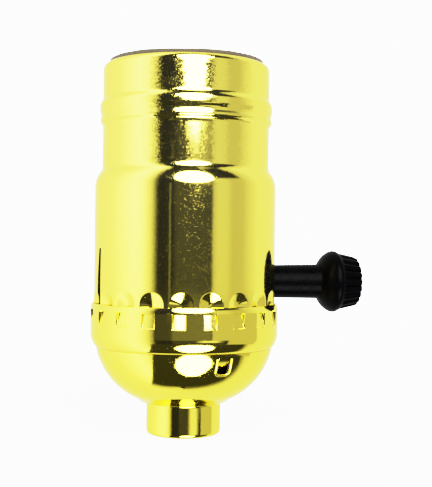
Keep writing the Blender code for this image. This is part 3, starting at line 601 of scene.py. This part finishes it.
def make_cap():
    offsets = [0, 1.15, 2.3, 3.3, 3.45, 3.6, 3.75, 3.9, 4.05, 4.2, 6.6, 9.0]
    offsets = sorted({-o for o in offsets[:-1]} | set(offsets))
    line = cap_line()
    inside = thinned(offset(line, SHEET), 2)
    angles = repeated_angles(offsets, POCKET_TURN)
    cap = turned("cap_fine", [*line, *reversed(inside)], angles, shape=pocketed)
    half = TONGUE_HALF_WIDTH
    middle = (TONGUE_LOW + TONGUE_HIGH) / 2
    window = block(
        "window",
        (-3 * MM, -half, TONGUE_LOW - middle),
        (3 * MM, half, TONGUE_HIGH - middle),
        polar(17.2 * MM, TONGUE_TURN, middle),
        Matrix.Rotation(TONGUE_TURN, 3, "Z"),
    )
    round_lower_edge(window)
    screw_hole = rod("screw_hole", SET_SCREW_HOLE, (0, 5 * MM, SET_SCREW_Z), (0, 9 * MM, SET_SCREW_Z))
    cut(cap, window, screw_hole)
    replace(cap, "cap")
    make_window_rim()
    make_tongue()


def round_lower_edge(window):
    """Rounds the two lower edges of the lanced window, which run inwards."""
    bm = bmesh.new()
    bm.from_mesh(window.data)
    lowest = min(v.co.z for v in bm.verts)
    inward = Vector((math.cos(TONGUE_TURN), math.sin(TONGUE_TURN), 0))
    found = [
        e
        for e in bm.edges
        if e.verts[0].co.z < lowest + 1e-6
        and e.verts[1].co.z < lowest + 1e-6
        and abs((e.verts[0].co - e.verts[1].co).normalized().dot(inward)) > 0.9
    ]
    bmesh.ops.bevel(bm, geom=found, offset=WINDOW_CORNER, segments=6, affect="EDGES", profile=0.5)
    bm.to_mesh(window.data)
    bm.free()


def dome_radius(z):
    return DOME_CENTER[0] + math.sqrt(DOME_RADIUS**2 - (z - DOME_CENTER[1]) ** 2)


def make_window_rim():
    """The rounded edge round the lanced window, a curve along its sides and its lower edge."""
    curve = bpy.data.curves.new("window_rim", "CURVE")
    curve.dimensions = "3D"
    curve.bevel_depth = 0.26 * MM
    curve.bevel_resolution = 4
    curve.resolution_u = 6
    spline = curve.splines.new("POLY")
    half, corner = TONGUE_HALF_WIDTH, WINDOW_CORNER
    side = TONGUE_LOW + corner
    outline = [(half, TONGUE_HIGH - 0.1 * MM), (half, (TONGUE_HIGH + side) / 2)]
    outline += arc((half - corner, side), corner, 0, -90, 8)
    outline += [(0.0, TONGUE_LOW)]
    outline += [(-u, w) for u, w in reversed(outline[:-1])]
    spline.points.add(len(outline) - 1)
    for point, (u, w) in zip(spline.points, outline):
        reach = dome_radius(w) - 0.12 * MM
        across = math.sqrt(reach**2 - u**2)
        place = Matrix.Rotation(TONGUE_TURN, 3, "Z") @ Vector((across, u, w))
        point.co = (*place, 1.0)
    rim = bpy.data.objects.new("window_rim", curve)
    bpy.context.scene.collection.objects.link(rim)
    dress(rim, "cap")


def make_tongue():
    """The lanced tongue, bent in from the window's upper edge and narrow at its tip."""
    half_width = TONGUE_HALF_WIDTH - 0.35 * MM
    line = [(0, 0), (0.25, -0.5), (0.75, -1.2), (1.35, -1.9), (1.95, -2.45)]
    strip = [(-u * MM, w * MM) for u, w in line]
    tongue = bpy.data.meshes.new("tongue")
    bm = bmesh.new()
    sides = []
    for side in (-1, 1):
        ring = []
        for depth in (0, SHEET):
            for i, (u, w) in enumerate(strip):
                width = half_width * (1 if i < len(strip) - 1 else 0.55)
                ring.append(bm.verts.new((u - depth, side * width, w)))
        sides.append(ring)
    count = len(strip)
    loop = list(range(count)) + list(range(2 * count - 1, count - 1, -1))
    for i, k in enumerate(loop):
        n = loop[(i + 1) % len(loop)]
        bm.faces.new((sides[0][k], sides[0][n], sides[1][n], sides[1][k]))
    for ring in sides:
        for i in range(count - 1):
            bm.faces.new((ring[i], ring[i + 1], ring[count + i + 1], ring[count + i]))
    bm.to_mesh(tongue)
    bm.free()
    made = bpy.data.objects.new("tongue", tongue)
    bpy.context.scene.collection.objects.link(made)
    root = polar(dome_radius(TONGUE_HIGH) - 0.1 * MM, TONGUE_TURN, TONGUE_HIGH + 0.15 * MM)
    made.data.transform(Matrix.Translation(root) @ Matrix.Rotation(TONGUE_TURN, 4, "Z"))
    tidy(made)
    soften(made, 0.07 * MM)
    dress(made, "cap")


# Liner.


def make_liner():
    """Rolled fibre sleeve: a little uneven at its cut edge."""
    low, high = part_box("insulating_liner")
    outer_low, outer_high, thickness = 16.9 * MM, 15.55 * MM, 0.75 * MM
    shoulder = 49.5 * MM
    edge = 0.18 * MM
    slope_foot = (outer_low - 0.1 * MM, shoulder + 0.2 * MM)
    slope_top = (outer_high + 0.1 * MM, shoulder + 1.8 * MM)
    line = [
        *span((outer_low, low.z), (outer_low, shoulder), 12),
        *span(slope_foot, slope_top, 4),
        *span((outer_high, shoulder + 2.0 * MM), (outer_high, high.z - edge), 14),
        *arc((outer_high - edge, high.z - edge), edge, 20, 90, 4),
    ]
    inner = outer_high - thickness
    inside = [
        *arc((inner + edge, high.z - edge), edge, 90, 160, 4),
        *span((inner, high.z - edge - 0.3 * MM), (inner, shoulder + 1.6 * MM), 14),
        *span((outer_low - thickness, shoulder - 0.4 * MM), (outer_low - thickness, low.z), 12),
    ]

    def worn(r, a, z):
        near_edge = smooth_step(z, high.z - 1.2 * MM, high.z - 0.1 * MM)
        wave = 0.5 + 0.28 * np.sin(3 * a + 0.6) + 0.14 * np.sin(7 * a + 2.0) + 0.08 * np.sin(17 * a)
        return r, a, z - 0.22 * MM * near_edge * wave

    liner = turned("liner_fine", [*line, *inside], even_angles(180), shape=worn)
    cut(liner, *slot_cutters())
    replace(liner, "insulating_liner")


# Turn knob.


def through(points, steps):
    """A smooth line through the points."""
    p = np.array(points, float)
    p = np.vstack([2 * p[0] - p[1], p, 2 * p[-1] - p[-2]])
    out = []
    for i in range(1, len(p) - 2):
        for t in np.linspace(0, 1, steps, endpoint=False):
            a, b, c, d = p[i - 1 : i + 3]
            bend = 2 * a - 5 * b + 4 * c - d
            twist = 3 * b - 3 * c + d - a
            out.append(0.5 * (2 * b + (c - a) * t + bend * t**2 + twist * t**3))
    return [tuple(q) for q in out] + [tuple(p[-2])]


def make_knob():
    low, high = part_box("turn_knob")
    end, start = high.x, low.x
    flutes, depth = 20, 0.5 * MM
    bore, pocket, pocket_start, pocket_end = 2.1 * MM, 3.3 * MM, 29.2 * MM, 34.8 * MM
    # Radius and distance along the shaft, in millimetres.
    tube = [(3.12, 16.32), (3.28, 16.42), (3.36, 16.7), (3.40, 19.0), (3.47, 23.0), (3.54, 27.4)]
    head = [(3.62, 28.05), (3.95, 28.42), (4.5, 28.75), (5.1, 29.2), (5.65, 29.75), (6.1, 30.4)]
    head += [(6.36, 31.0), (6.41, 31.4)]
    cone = [(6.33, 31.85), (6.08, 32.3), (5.92, 32.7), (5.72, 33.6), (5.42, 35.0), (5.18, 36.0)]
    front = [(5.06, 36.28), (4.85, 36.45), (4.5, 36.5)]
    outer = through([(r * MM, x * MM) for r, x in tube + head + cone + front], 4)
    line = [
        (0.0, pocket_end),
        (pocket, pocket_end),
        (pocket, pocket_start),
        (bore, pocket_start),
        (bore, start + 0.2 * MM),
        (bore + 0.2 * MM, start),
        *outer,
        (4.1 * MM, end - 0.02 * MM),
        (3.7 * MM, end - 0.25 * MM),
        (0.0, end - 0.25 * MM),
    ]

    def fluted(r, a, z):
        on_cone = smooth_step(z, 31.9 * MM, 32.9 * MM) * smooth_step(r, 4.2 * MM, 4.7 * MM)
        valley = 1 - np.abs(np.cos(flutes * a / 2)) ** 0.8
        return r - depth * on_cone * valley, a, z

    knob = turned("turn_knob_fine", line, even_angles(240), False, fluted, ON_SHAFT, ALONG_SHAFT)
    replace(knob, "turn_knob")


# Screw shell and the pieces inside.


def make_screw_shell():
    low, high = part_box("screw_shell")
    pitch, first, turns, depth, mean = 3.629 * MM, 48.6 * MM, 6, 0.45 * MM, 13.15 * MM
    last = first + pitch * turns
    wall = mean - 0.15 * MM
    line = [
        *span((9.4 * MM, low.z), (wall - 0.9 * MM, low.z), 3),
        *arc((wall - 0.8 * MM, low.z + 0.8 * MM), 0.8 * MM, -88, 0, 6),
        *span((wall, low.z + 1.2 * MM), (mean, first - 0.2 * MM), 4),
        *span((mean, first), (mean, last), turns * 20),
        *span((mean, last + 0.2 * MM), (mean + 0.2 * MM, high.z - 1.0 * MM), 4),
        *span((mean + 0.4 * MM, high.z - 0.6 * MM), (mean + 0.9 * MM, high.z), 3),
    ]

    def threaded(r, a, z):
        fade = np.clip(np.minimum(2 * (z - first) / pitch, 2 * (last - z) / pitch), 0, 1)
        return r + depth * fade * np.cos(2 * math.pi * (z - first) / pitch - a), a, z

    section = [*line, *reversed(offset(line, SHEET))]
    shell = turned("screw_shell_fine", section, even_angles(120), shape=threaded)
    places = [(0, FLANGE_RIVET_Y), (0, -FLANGE_RIVET_Y)]
    cut(shell, *hole_cutters(places, FLANGE_HOLE, low.z - 1 * MM, low.z + 1.5 * MM))
    replace(shell, "screw_shell")


# Mouldings of the switch.

ASSEMBLY_HOLES = ((-10.5 * MM, -7.5 * MM), (10.5 * MM, 7.5 * MM))
ASSEMBLY_HOLE = 1.5 * MM
RIVETS = ((-6.3 * MM, 0.0), (5.3 * MM, -4.2 * MM))
RIVET_HOLE = 1.2 * MM
FLANGE_RIVET_Y = 11.0 * MM
FLANGE_HOLE = 1.1 * MM
TERMINAL_Z = 28.0 * MM
TERMINAL_FACE_Y = 11.9 * MM
SCREW_HOLE = 2.0 * MM
SHAFT_RADIUS = 1.6 * MM
SHAFT_BORE = 1.9 * MM
SHAFT_WELL = 2.9 * MM
# Boxes cut from the mouldings, as their low and high corners in millimetres.
CAVITY = ((-8.5, -6.5, 19.0), (6.9, 6.5, 37.0))
SHAFT_FACE = ((14.6, -6.0, 25.0), (17.0, 6.0, 36.6))
LEG_SLOT = ((-2.9, -12.0, 19.0), (2.9, -6.0, 21.3))
NEUTRAL_RECESS = ((-6.8, 10.8, 19.0), (6.8, 17.0, 41.0))
LINE_RECESS = ((-6.8, -17.0, 19.0), (6.8, -10.8, 41.0))
STRAP_NOTCH = ((-4.6, 10.8, 39.3), (4.6, 17.0, 44.0))
CONTACT_WELL = ((-4.8, -3.2, 42.0), (3.4, 3.2, 44.0))
RING_WELL = ((3.9, -3.2, 42.2), (6.9, 3.0, 44.0))


def moulded_disc(name, node, edge):
    """A disc that fills its node's box, with rounded rims."""
    low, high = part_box(node)
    rim = high.y - edge
    line = [
        (0, low.z),
        *arc((rim, low.z + edge), edge, -90, 0, 4),
        *arc((rim, high.z - edge), edge, 0, 90, 4),
        (0, high.z),
    ]
    return turned(name, line, even_angles(160), loop=False)


def box_cutters(*boxes):
    """Cutters from their corners in millimetres."""
    return [block("box", Vector(low) * MM, Vector(high) * MM) for low, high in boxes]


def hole_cutters(places, radius, low, high):
    return [rod("hole", radius, (x, y, low), (x, y, high)) for x, y in places]


def make_switch_body():
    """The block that holds the switch, open below, with a flat on each side for a terminal."""
    low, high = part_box("switch_body")
    body = moulded_disc("switch_body_fine", "switch_body", 0.45 * MM)
    cutters = [
        *box_cutters(CAVITY, SHAFT_FACE, LEG_SLOT, NEUTRAL_RECESS, LINE_RECESS),
        rod("shaft_well", SHAFT_WELL, (6 * MM, 0, KNOB_Z), (16 * MM, 0, KNOB_Z)),
        rod("shaft_seat", SHAFT_BORE, (-11 * MM, 0, KNOB_Z), (-8 * MM, 0, KNOB_Z)),
        *hole_cutters(ASSEMBLY_HOLES, ASSEMBLY_HOLE, low.z - 1 * MM, high.z + 1 * MM),
        *hole_cutters(RIVETS, RIVET_HOLE, 36 * MM, high.z + 1 * MM),
    ]
    for side in (1, -1):
        start, end = (0, side * 11.8 * MM, TERMINAL_Z), (0, side * 7.3 * MM, TERMINAL_Z)
        cutters.append(rod("screw_hole", SCREW_HOLE, start, end))
    cut(body, *cutters)
    soften(body, 0.2 * MM, 3)
    replace(body, "switch_body")


def make_upper_insulator():
    low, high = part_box("upper_insulator")
    disc = moulded_disc("upper_insulator_fine", "upper_insulator", 0.4 * MM)
    cut(
        disc,
        *box_cutters(STRAP_NOTCH, CONTACT_WELL, RING_WELL),
        *hole_cutters(ASSEMBLY_HOLES, ASSEMBLY_HOLE, low.z - 1 * MM, low.z + 2.5 * MM),
        *hole_cutters(RIVETS, RIVET_HOLE, low.z - 1 * MM, high.z + 1 * MM),
        *hole_cutters([(0, -FLANGE_RIVET_Y)], FLANGE_HOLE, low.z - 1 * MM, high.z + 1 * MM),
    )
    soften(disc, 0.12 * MM)
    replace(disc, "upper_insulator")


def make_switch_cover():
    low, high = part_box("switch_cover")
    disc = moulded_disc("switch_cover_fine", "switch_cover", 0.15 * MM)
    cut(disc, *hole_cutters(ASSEMBLY_HOLES, ASSEMBLY_HOLE, low.z - 1 * MM, high.z + 1 * MM))
    replace(disc, "switch_cover")


# Turned metal pieces.


def make_terminal_screw(node, side):
    """A binding-head screw: a threaded shank, a domed head and its slot."""
    head, height, shank, length, pitch = 3.2 * MM, 1.8 * MM, 1.6 * MM, 4.5 * MM, 0.7 * MM
    line = [
        (0, -length),
        (shank - 0.4 * MM, -length),
        *span((shank, -length + 0.4 * MM), (shank, -0.2 * MM), 60),
        (shank, 0),
        (head - 0.2 * MM, 0),
        (head, 0.15 * MM),
        (head, height - 0.75 * MM),
        *arc((head - 0.55 * MM, height - 0.75 * MM), 0.55 * MM, 10, 60, 4),
        (head - 1.2 * MM, height - 0.04 * MM),
        (0, height),
    ]

    def threaded(r, a, z):
        on_shank = (z < -0.3 * MM) & (z > -length + 0.3 * MM) & (r > shank - 0.3 * MM)
        cut_in = 0.14 * MM * (1 - np.cos(2 * math.pi * z / pitch - a))
        return r - on_shank * cut_in, a, z

    under_head = side * (TERMINAL_FACE_Y + 0.3 * MM)
    place = (0, under_head, TERMINAL_Z)
    screw = turned(node + "_fine", line, even_angles(64), False, threaded, place, (0, side, 0))
    low, high = sorted((under_head + side * (height - 0.8 * MM), under_head + side * (height + 1 * MM)))
    across, half = 4 * MM, 0.4 * MM
    cut(screw, block("slot", (-across, low, TERMINAL_Z - half), (across, high, TERMINAL_Z + half)))
    soften(screw, 0.05 * MM)
    replace(screw, node)


def make_shaft_and_bushing():
    radius, chamfer = SHAFT_RADIUS, 0.4 * MM
    foot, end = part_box("switch_shaft")[0].x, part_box("switch_shaft")[1].x
    line = [
        (0, foot),
        (radius - chamfer, foot),
        (radius, foot + chamfer),
        (radius, end - chamfer),
        (radius - chamfer, end),
        (0, end),
    ]
    shaft = turned("switch_shaft_fine", line, even_angles(72), False, None, ON_SHAFT, ALONG_SHAFT)
    replace(shaft, "switch_shaft")
    bore, body, flange = SHAFT_BORE, 2.6 * MM, 4.2 * MM
    start, seat, end = 7.2 * MM, 14.9 * MM, 15.7 * MM
    line = [
        (bore, start),
        (body, start),
        (body, seat),
        (flange, seat),
        *arc((flange - 0.3 * MM, end - 0.3 * MM), 0.3 * MM, 0, 90, 4),
        (bore + 0.25 * MM, end),
        (bore, end - 0.25 * MM),
    ]
    bushing = turned("shaft_bushing_fine", line, even_angles(96), origin=ON_SHAFT, axis=ALONG_SHAFT)
    replace(bushing, "shaft_bushing")


def make_hub_bushing():
    """The insert in the hub, with its pipe thread."""
    low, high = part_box("hub_bushing")
    bore, body, flange, shoulder = 4.85 * MM, 6.9 * MM, 8.2 * MM, 7.6 * MM
    pitch, depth, lead = 0.94 * MM, 0.5 * MM, 0.4 * MM
    rows = 90
    line = [
        (bore + depth, low.z),
        (body, low.z),
        (body, shoulder),
        (flange, shoulder),
        (flange, high.z),
        (bore + depth, high.z),
        *span((bore, high.z - lead), (bore, low.z + lead), rows),
    ]

    def threaded(r, a, z):
        inside = r < bore + 0.1 * MM
        return r + inside * depth * (0.5 - 0.5 * np.cos(2 * math.pi * z / pitch - a)), a, z

    bushing = turned("hub_bushing_fine", line, even_angles(96), shape=threaded)
    cut(bushing, rod("screw_hole", SET_SCREW_HOLE, (0, 4 * MM, SET_SCREW_Z), (0, 8 * MM, SET_SCREW_Z)))
    replace(bushing, "hub_bushing")


def dress_cad_nodes():
    """The nodes whose shape is already right keep it, with a finish and softened edges."""
    for name, node in NODES.items():
        node.data.materials.clear()
        node.data.materials.append(LOOKS[SLOT_OF[name]])
        for polygon in node.data.polygons:
            polygon.material_index = 0
        soften(node, 0.1 * MM)


# Studio.

CAMERA_TURN = math.radians(-12)
CAMERA_AWAY = 0.200
CAMERA_RIGHT = 0.0063
CAMERA_Z = 0.0385
CAMERA_ROLL = math.radians(0.6)
LENS_MM = 72.7
BACKDROP = (0.93, 0.98, 1.0)
BACKDROP_LIGHT = 5.6
FLOOR_GLOW = 3.4
FLOOR_FADE = (0.03, 0.16)  # distances from the axis between which the floor clears
# Brightness of the tent round the camera's direction: (degrees to the picture's right, level).
WALLS = (
    (-180, 1.35), (-130, 1.5), (-100, 1.75), (-80, 2.6), (-64, 3.5), (-53, 2.9), (-45, 1.6), (-38.5, 0.7),
    (-33.5, 0.09), (-31.5, 0.018), (-13, 0.018), (-9, 0.055), (34.5, 0.055), (37, 0.66), (43, 0.88),
    (54, 0.86), (63, 0.66), (78, 0.68), (92, 1.0), (105, 1.3), (180, 1.35),
)
BRIGHTEST_WALL = 3.5
# Tone of the picture: scene light against display light, a straight foot and a soft shoulder.
TONE_WHITE = 8.0
TONE = (
    (0.0, 0.0), (0.5, 0.5), (0.7, 0.68), (1.0, 0.82), (1.3, 0.87), (1.6, 0.91), (2.2, 0.94), (4.0, 0.965),
    (8.0, 1.0),
)
FORWARD = Vector((-math.sin(CAMERA_TURN), math.cos(CAMERA_TURN), 0))
RIGHT = Vector((math.cos(CAMERA_TURN), math.sin(CAMERA_TURN), 0))


def make_camera():
    data = bpy.data.cameras.new("camera")
    data.lens = LENS_MM
    data.sensor_width = 36
    data.clip_start = 0.01
    data.clip_end = 50
    camera = bpy.data.objects.new("camera", data)
    bpy.context.scene.collection.objects.link(camera)
    camera.location = -CAMERA_AWAY * FORWARD + CAMERA_RIGHT * RIGHT + Vector((0, 0, CAMERA_Z))
    camera.matrix_world = (
        Matrix.Translation(camera.location)
        @ (FORWARD.to_track_quat("-Z", "Y")).to_matrix().to_4x4()
        @ Matrix.Rotation(CAMERA_ROLL, 4, "Z")
    )
    bpy.context.scene.camera = camera


def make_world():
    """A white tent with an opening on the camera's side, where two soft boxes stand in the dark."""
    world = bpy.data.worlds.new("studio")
    bpy.context.scene.world = world
    world.use_nodes = True
    g = Graph(world.node_tree)
    world.node_tree.nodes.clear()
    direction = g.add("ShaderNodeTexCoord").outputs["Generated"]
    turned_to_camera = g.add("ShaderNodeVectorRotate", rotation_type="Z_AXIS")
    g.feed(turned_to_camera.inputs["Vector"], direction)
    g.feed(turned_to_camera.inputs["Angle"], -CAMERA_TURN)
    parts = g.add("ShaderNodeSeparateXYZ")
    g.feed(parts.inputs[0], turned_to_camera.outputs[0])
    x, y, z = parts.outputs
    azimuth = g.math("MULTIPLY", g.math("ARCTAN2", x, g.math("MULTIPLY", y, -1.0)), 180 / math.pi)
    elevation = g.math("MULTIPLY", g.math("ARCSINE", z), 180 / math.pi)

    walls = g.add("ShaderNodeValToRGB")
    g.feed(walls.inputs["Fac"], g.ramp(azimuth, -180, 180, smooth=False))
    stops = walls.color_ramp.elements
    while len(stops) < len(WALLS):
        stops.new(0.5)
    for stop, (angle, level) in zip(stops, WALLS):
        stop.position = (angle + 180) / 360
        stop.color = (level / BRIGHTEST_WALL,) * 3 + (1,)
    light = g.math("MULTIPLY", walls.outputs["Color"], BRIGHTEST_WALL)

    def band(value, low, high, soft):
        """1 between low and high, fading over soft at each end."""
        rise = g.ramp(value, low - soft / 2, low + soft / 2)
        return g.math("MULTIPLY", rise, g.ramp(value, high - soft / 2, high + soft / 2, 1, 0))

    def window(left, right, bottom, top, soft, soft_up):
        return g.math("MULTIPLY", band(azimuth, left, right, soft), band(elevation, bottom, top, soft_up))

    def soft_box(center, half, power, soft):
        """1 inside a rounded rectangle of directions."""
        sides = g.math("DIVIDE", g.math("ABSOLUTE", g.math("SUBTRACT", azimuth, center[0])), half[0])
        heights = g.math("DIVIDE", g.math("ABSOLUTE", g.math("SUBTRACT", elevation, center[1])), half[1])
        away = g.math("ADD", g.math("POWER", sides, power), g.math("POWER", heights, power))
        return g.ramp(away, 1 - soft, 1 + soft, 1, 0)

    # The normal that mirrors each direction to the camera's side, (across, towards, up): what is laid
    # out by it keeps its shape on the dome.
    mirror = g.add("ShaderNodeVectorMath", operation="SUBTRACT")
    g.feed(mirror.inputs[0], turned_to_camera.outputs[0])
    g.feed(mirror.inputs[1], (0.0, 1.0, 0.0))
    unit = g.add("ShaderNodeVectorMath", operation="NORMALIZE")
    g.feed(unit.inputs[0], mirror.outputs[0])
    normal = g.add("ShaderNodeSeparateXYZ")
    g.feed(normal.inputs[0], unit.outputs[0])
    across, _, up = normal.outputs

    def dark_bowl(half_width, depth, power, left, top):
        """1 under the camera's side, in a rounded bowl with a straight left edge."""
        sides = g.math("POWER", g.math("DIVIDE", g.math("ABSOLUTE", across), half_width), power)
        depths = g.math("POWER", g.math("DIVIDE", g.math("ABSOLUTE", up), depth), power)
        inside = g.ramp(g.math("ADD", sides, depths), 0.87, 1.15, 1, 0)
        right_of_edge = g.ramp(across, left - 0.012, left + 0.012)
        below = g.ramp(up, top - 0.03, top + 0.03, 1, 0)
        return g.math("MULTIPLY", inside, g.math("MULTIPLY", right_of_edge, below))

    def lay(under, mask, level):
        """The level where the mask is 1, and what lies under it elsewhere."""
        kept = g.math("MULTIPLY", under, g.math("SUBTRACT", 1.0, mask))
        return g.math("ADD", kept, g.math("MULTIPLY", mask, level))

    # Patches of light and dark on the walls, each laid over those before it.
    for mask, level in (
        # A dim strip just below eye level, darker on its left.
        (window(-33, -12, -8, -3.3, 6, 1.6), 0.06),
        (window(-13, 35, -8, -3.3, 7, 1.6), 0.19),
        # A paler strip just above eye level, and a thin upright line.
        (window(8, 34, 4.2, 9, 12, 2.4), 0.6),
        (window(-18.4, -15.6, -4, 5.5, 1.4, 1), 0.19),
        # Darkness below the camera.
        (dark_bowl(0.66, 0.70, 2.6, -0.315, -0.205), 0.038),
        # To the right, a dark patch above and a middling one below.
        (window(40, 78, 26, 68, 9, 9), 0.02),
        (window(36, 100, -24, -3.3, 3, 1.6), 0.68),
        # Straight overhead.
        (g.ramp(elevation, 79, 86), 1.4),
        # A dark patch low on the right, with light in its left half.
        (window(30, 57, -24, -8.6, 3, 1.5), 0.03),
        (window(21, 45, -16, -8.6, 14, 2), 1.4),
        # The two soft boxes.
        (soft_box((13, 33), (26, 26), 2.3, 0.14), 18.0),
        (soft_box((17, -45), (27, 18), 2.3, 0.16), 18.0),
    ):
        light = lay(light, mask, level)
    lit = g.add("ShaderNodeBackground")
    g.feed(lit.inputs["Color"], (1.0, 1.0, 1.0))
    g.feed(lit.inputs["Strength"], light)
    plain = g.add("ShaderNodeBackground")
    g.feed(plain.inputs["Color"], BACKDROP)
    g.feed(plain.inputs["Strength"], BACKDROP_LIGHT)
    choose = g.add("ShaderNodeMixShader")
    g.feed(choose.inputs[0], g.add("ShaderNodeLightPath").outputs["Is Camera Ray"])
    g.feed(choose.inputs[1], lit.outputs[0])
    g.feed(choose.inputs[2], plain.outputs[0])
    output = g.add("ShaderNodeOutputWorld")
    g.feed(output.inputs["Surface"], choose.outputs[0])


def make_floor():
    """A plain pale floor under the hub that fades into the backdrop, and is clear from below."""
    mesh = bpy.data.meshes.new("floor")
    bm = bmesh.new()
    bmesh.ops.create_circle(bm, cap_ends=True, segments=64, radius=0.5)
    bm.to_mesh(mesh)
    bm.free()
    floor = bpy.data.objects.new("floor", mesh)
    bpy.context.scene.collection.objects.link(floor)
    floor.location.z = -0.0002
    made = bpy.data.materials.new("floor")
    made.use_nodes = True
    made.node_tree.nodes.clear()
    g = Graph(made.node_tree)
    place = g.add("ShaderNodeTexCoord").outputs["Object"]
    length = g.add("ShaderNodeVectorMath", operation="LENGTH")
    g.feed(length.inputs[0], place)
    far = g.ramp(length.outputs["Value"], *FLOOR_FADE)
    glow = g.add("ShaderNodeEmission")
    g.feed(glow.inputs["Color"], BACKDROP)
    g.feed(glow.inputs["Strength"], FLOOR_GLOW)
    paper = g.add("ShaderNodeBsdfDiffuse")
    g.feed(paper.inputs["Color"], (0.62, 0.65, 0.66))
    both = g.add("ShaderNodeAddShader")
    g.feed(both.inputs[0], glow.outputs[0])
    g.feed(both.inputs[1], paper.outputs[0])
    mix = g.add("ShaderNodeMixShader")
    below = g.add("ShaderNodeNewGeometry").outputs["Backfacing"]
    g.feed(mix.inputs[0], g.math("MAXIMUM", far, below))
    g.feed(mix.inputs[1], both.outputs[0])
    g.feed(mix.inputs[2], g.add("ShaderNodeBsdfTransparent").outputs[0])
    output = g.add("ShaderNodeOutputMaterial")
    g.feed(output.inputs["Surface"], mix.outputs[0])
    floor.data.materials.append(made)
    floor.visible_glossy = False


def set_tone():
    view = bpy.context.scene.view_settings
    view.view_transform = "Standard"
    view.use_curve_mapping = True
    view.curve_mapping.white_level = (TONE_WHITE,) * 3
    points = view.curve_mapping.curves[3].points
    while len(points) < len(TONE):
        points.new(0.5, 0.5)
    for point, (light, shown) in zip(points, TONE):
        point.location = (light / TONE_WHITE, shown)
        point.handle_type = "VECTOR"
    view.curve_mapping.update()


def main():
    make_camera()
    make_world()
    make_floor()
    dress_cad_nodes()
    make_outer_shell()
    make_cap()
    make_liner()
    make_knob()
    make_screw_shell()
    make_switch_body()
    make_upper_insulator()
    make_switch_cover()
    make_terminal_screw("neutral_terminal_screw", 1)
    make_terminal_screw("line_terminal_screw", -1)
    make_shaft_and_bushing()
    make_hub_bushing()
    set_tone()


main()
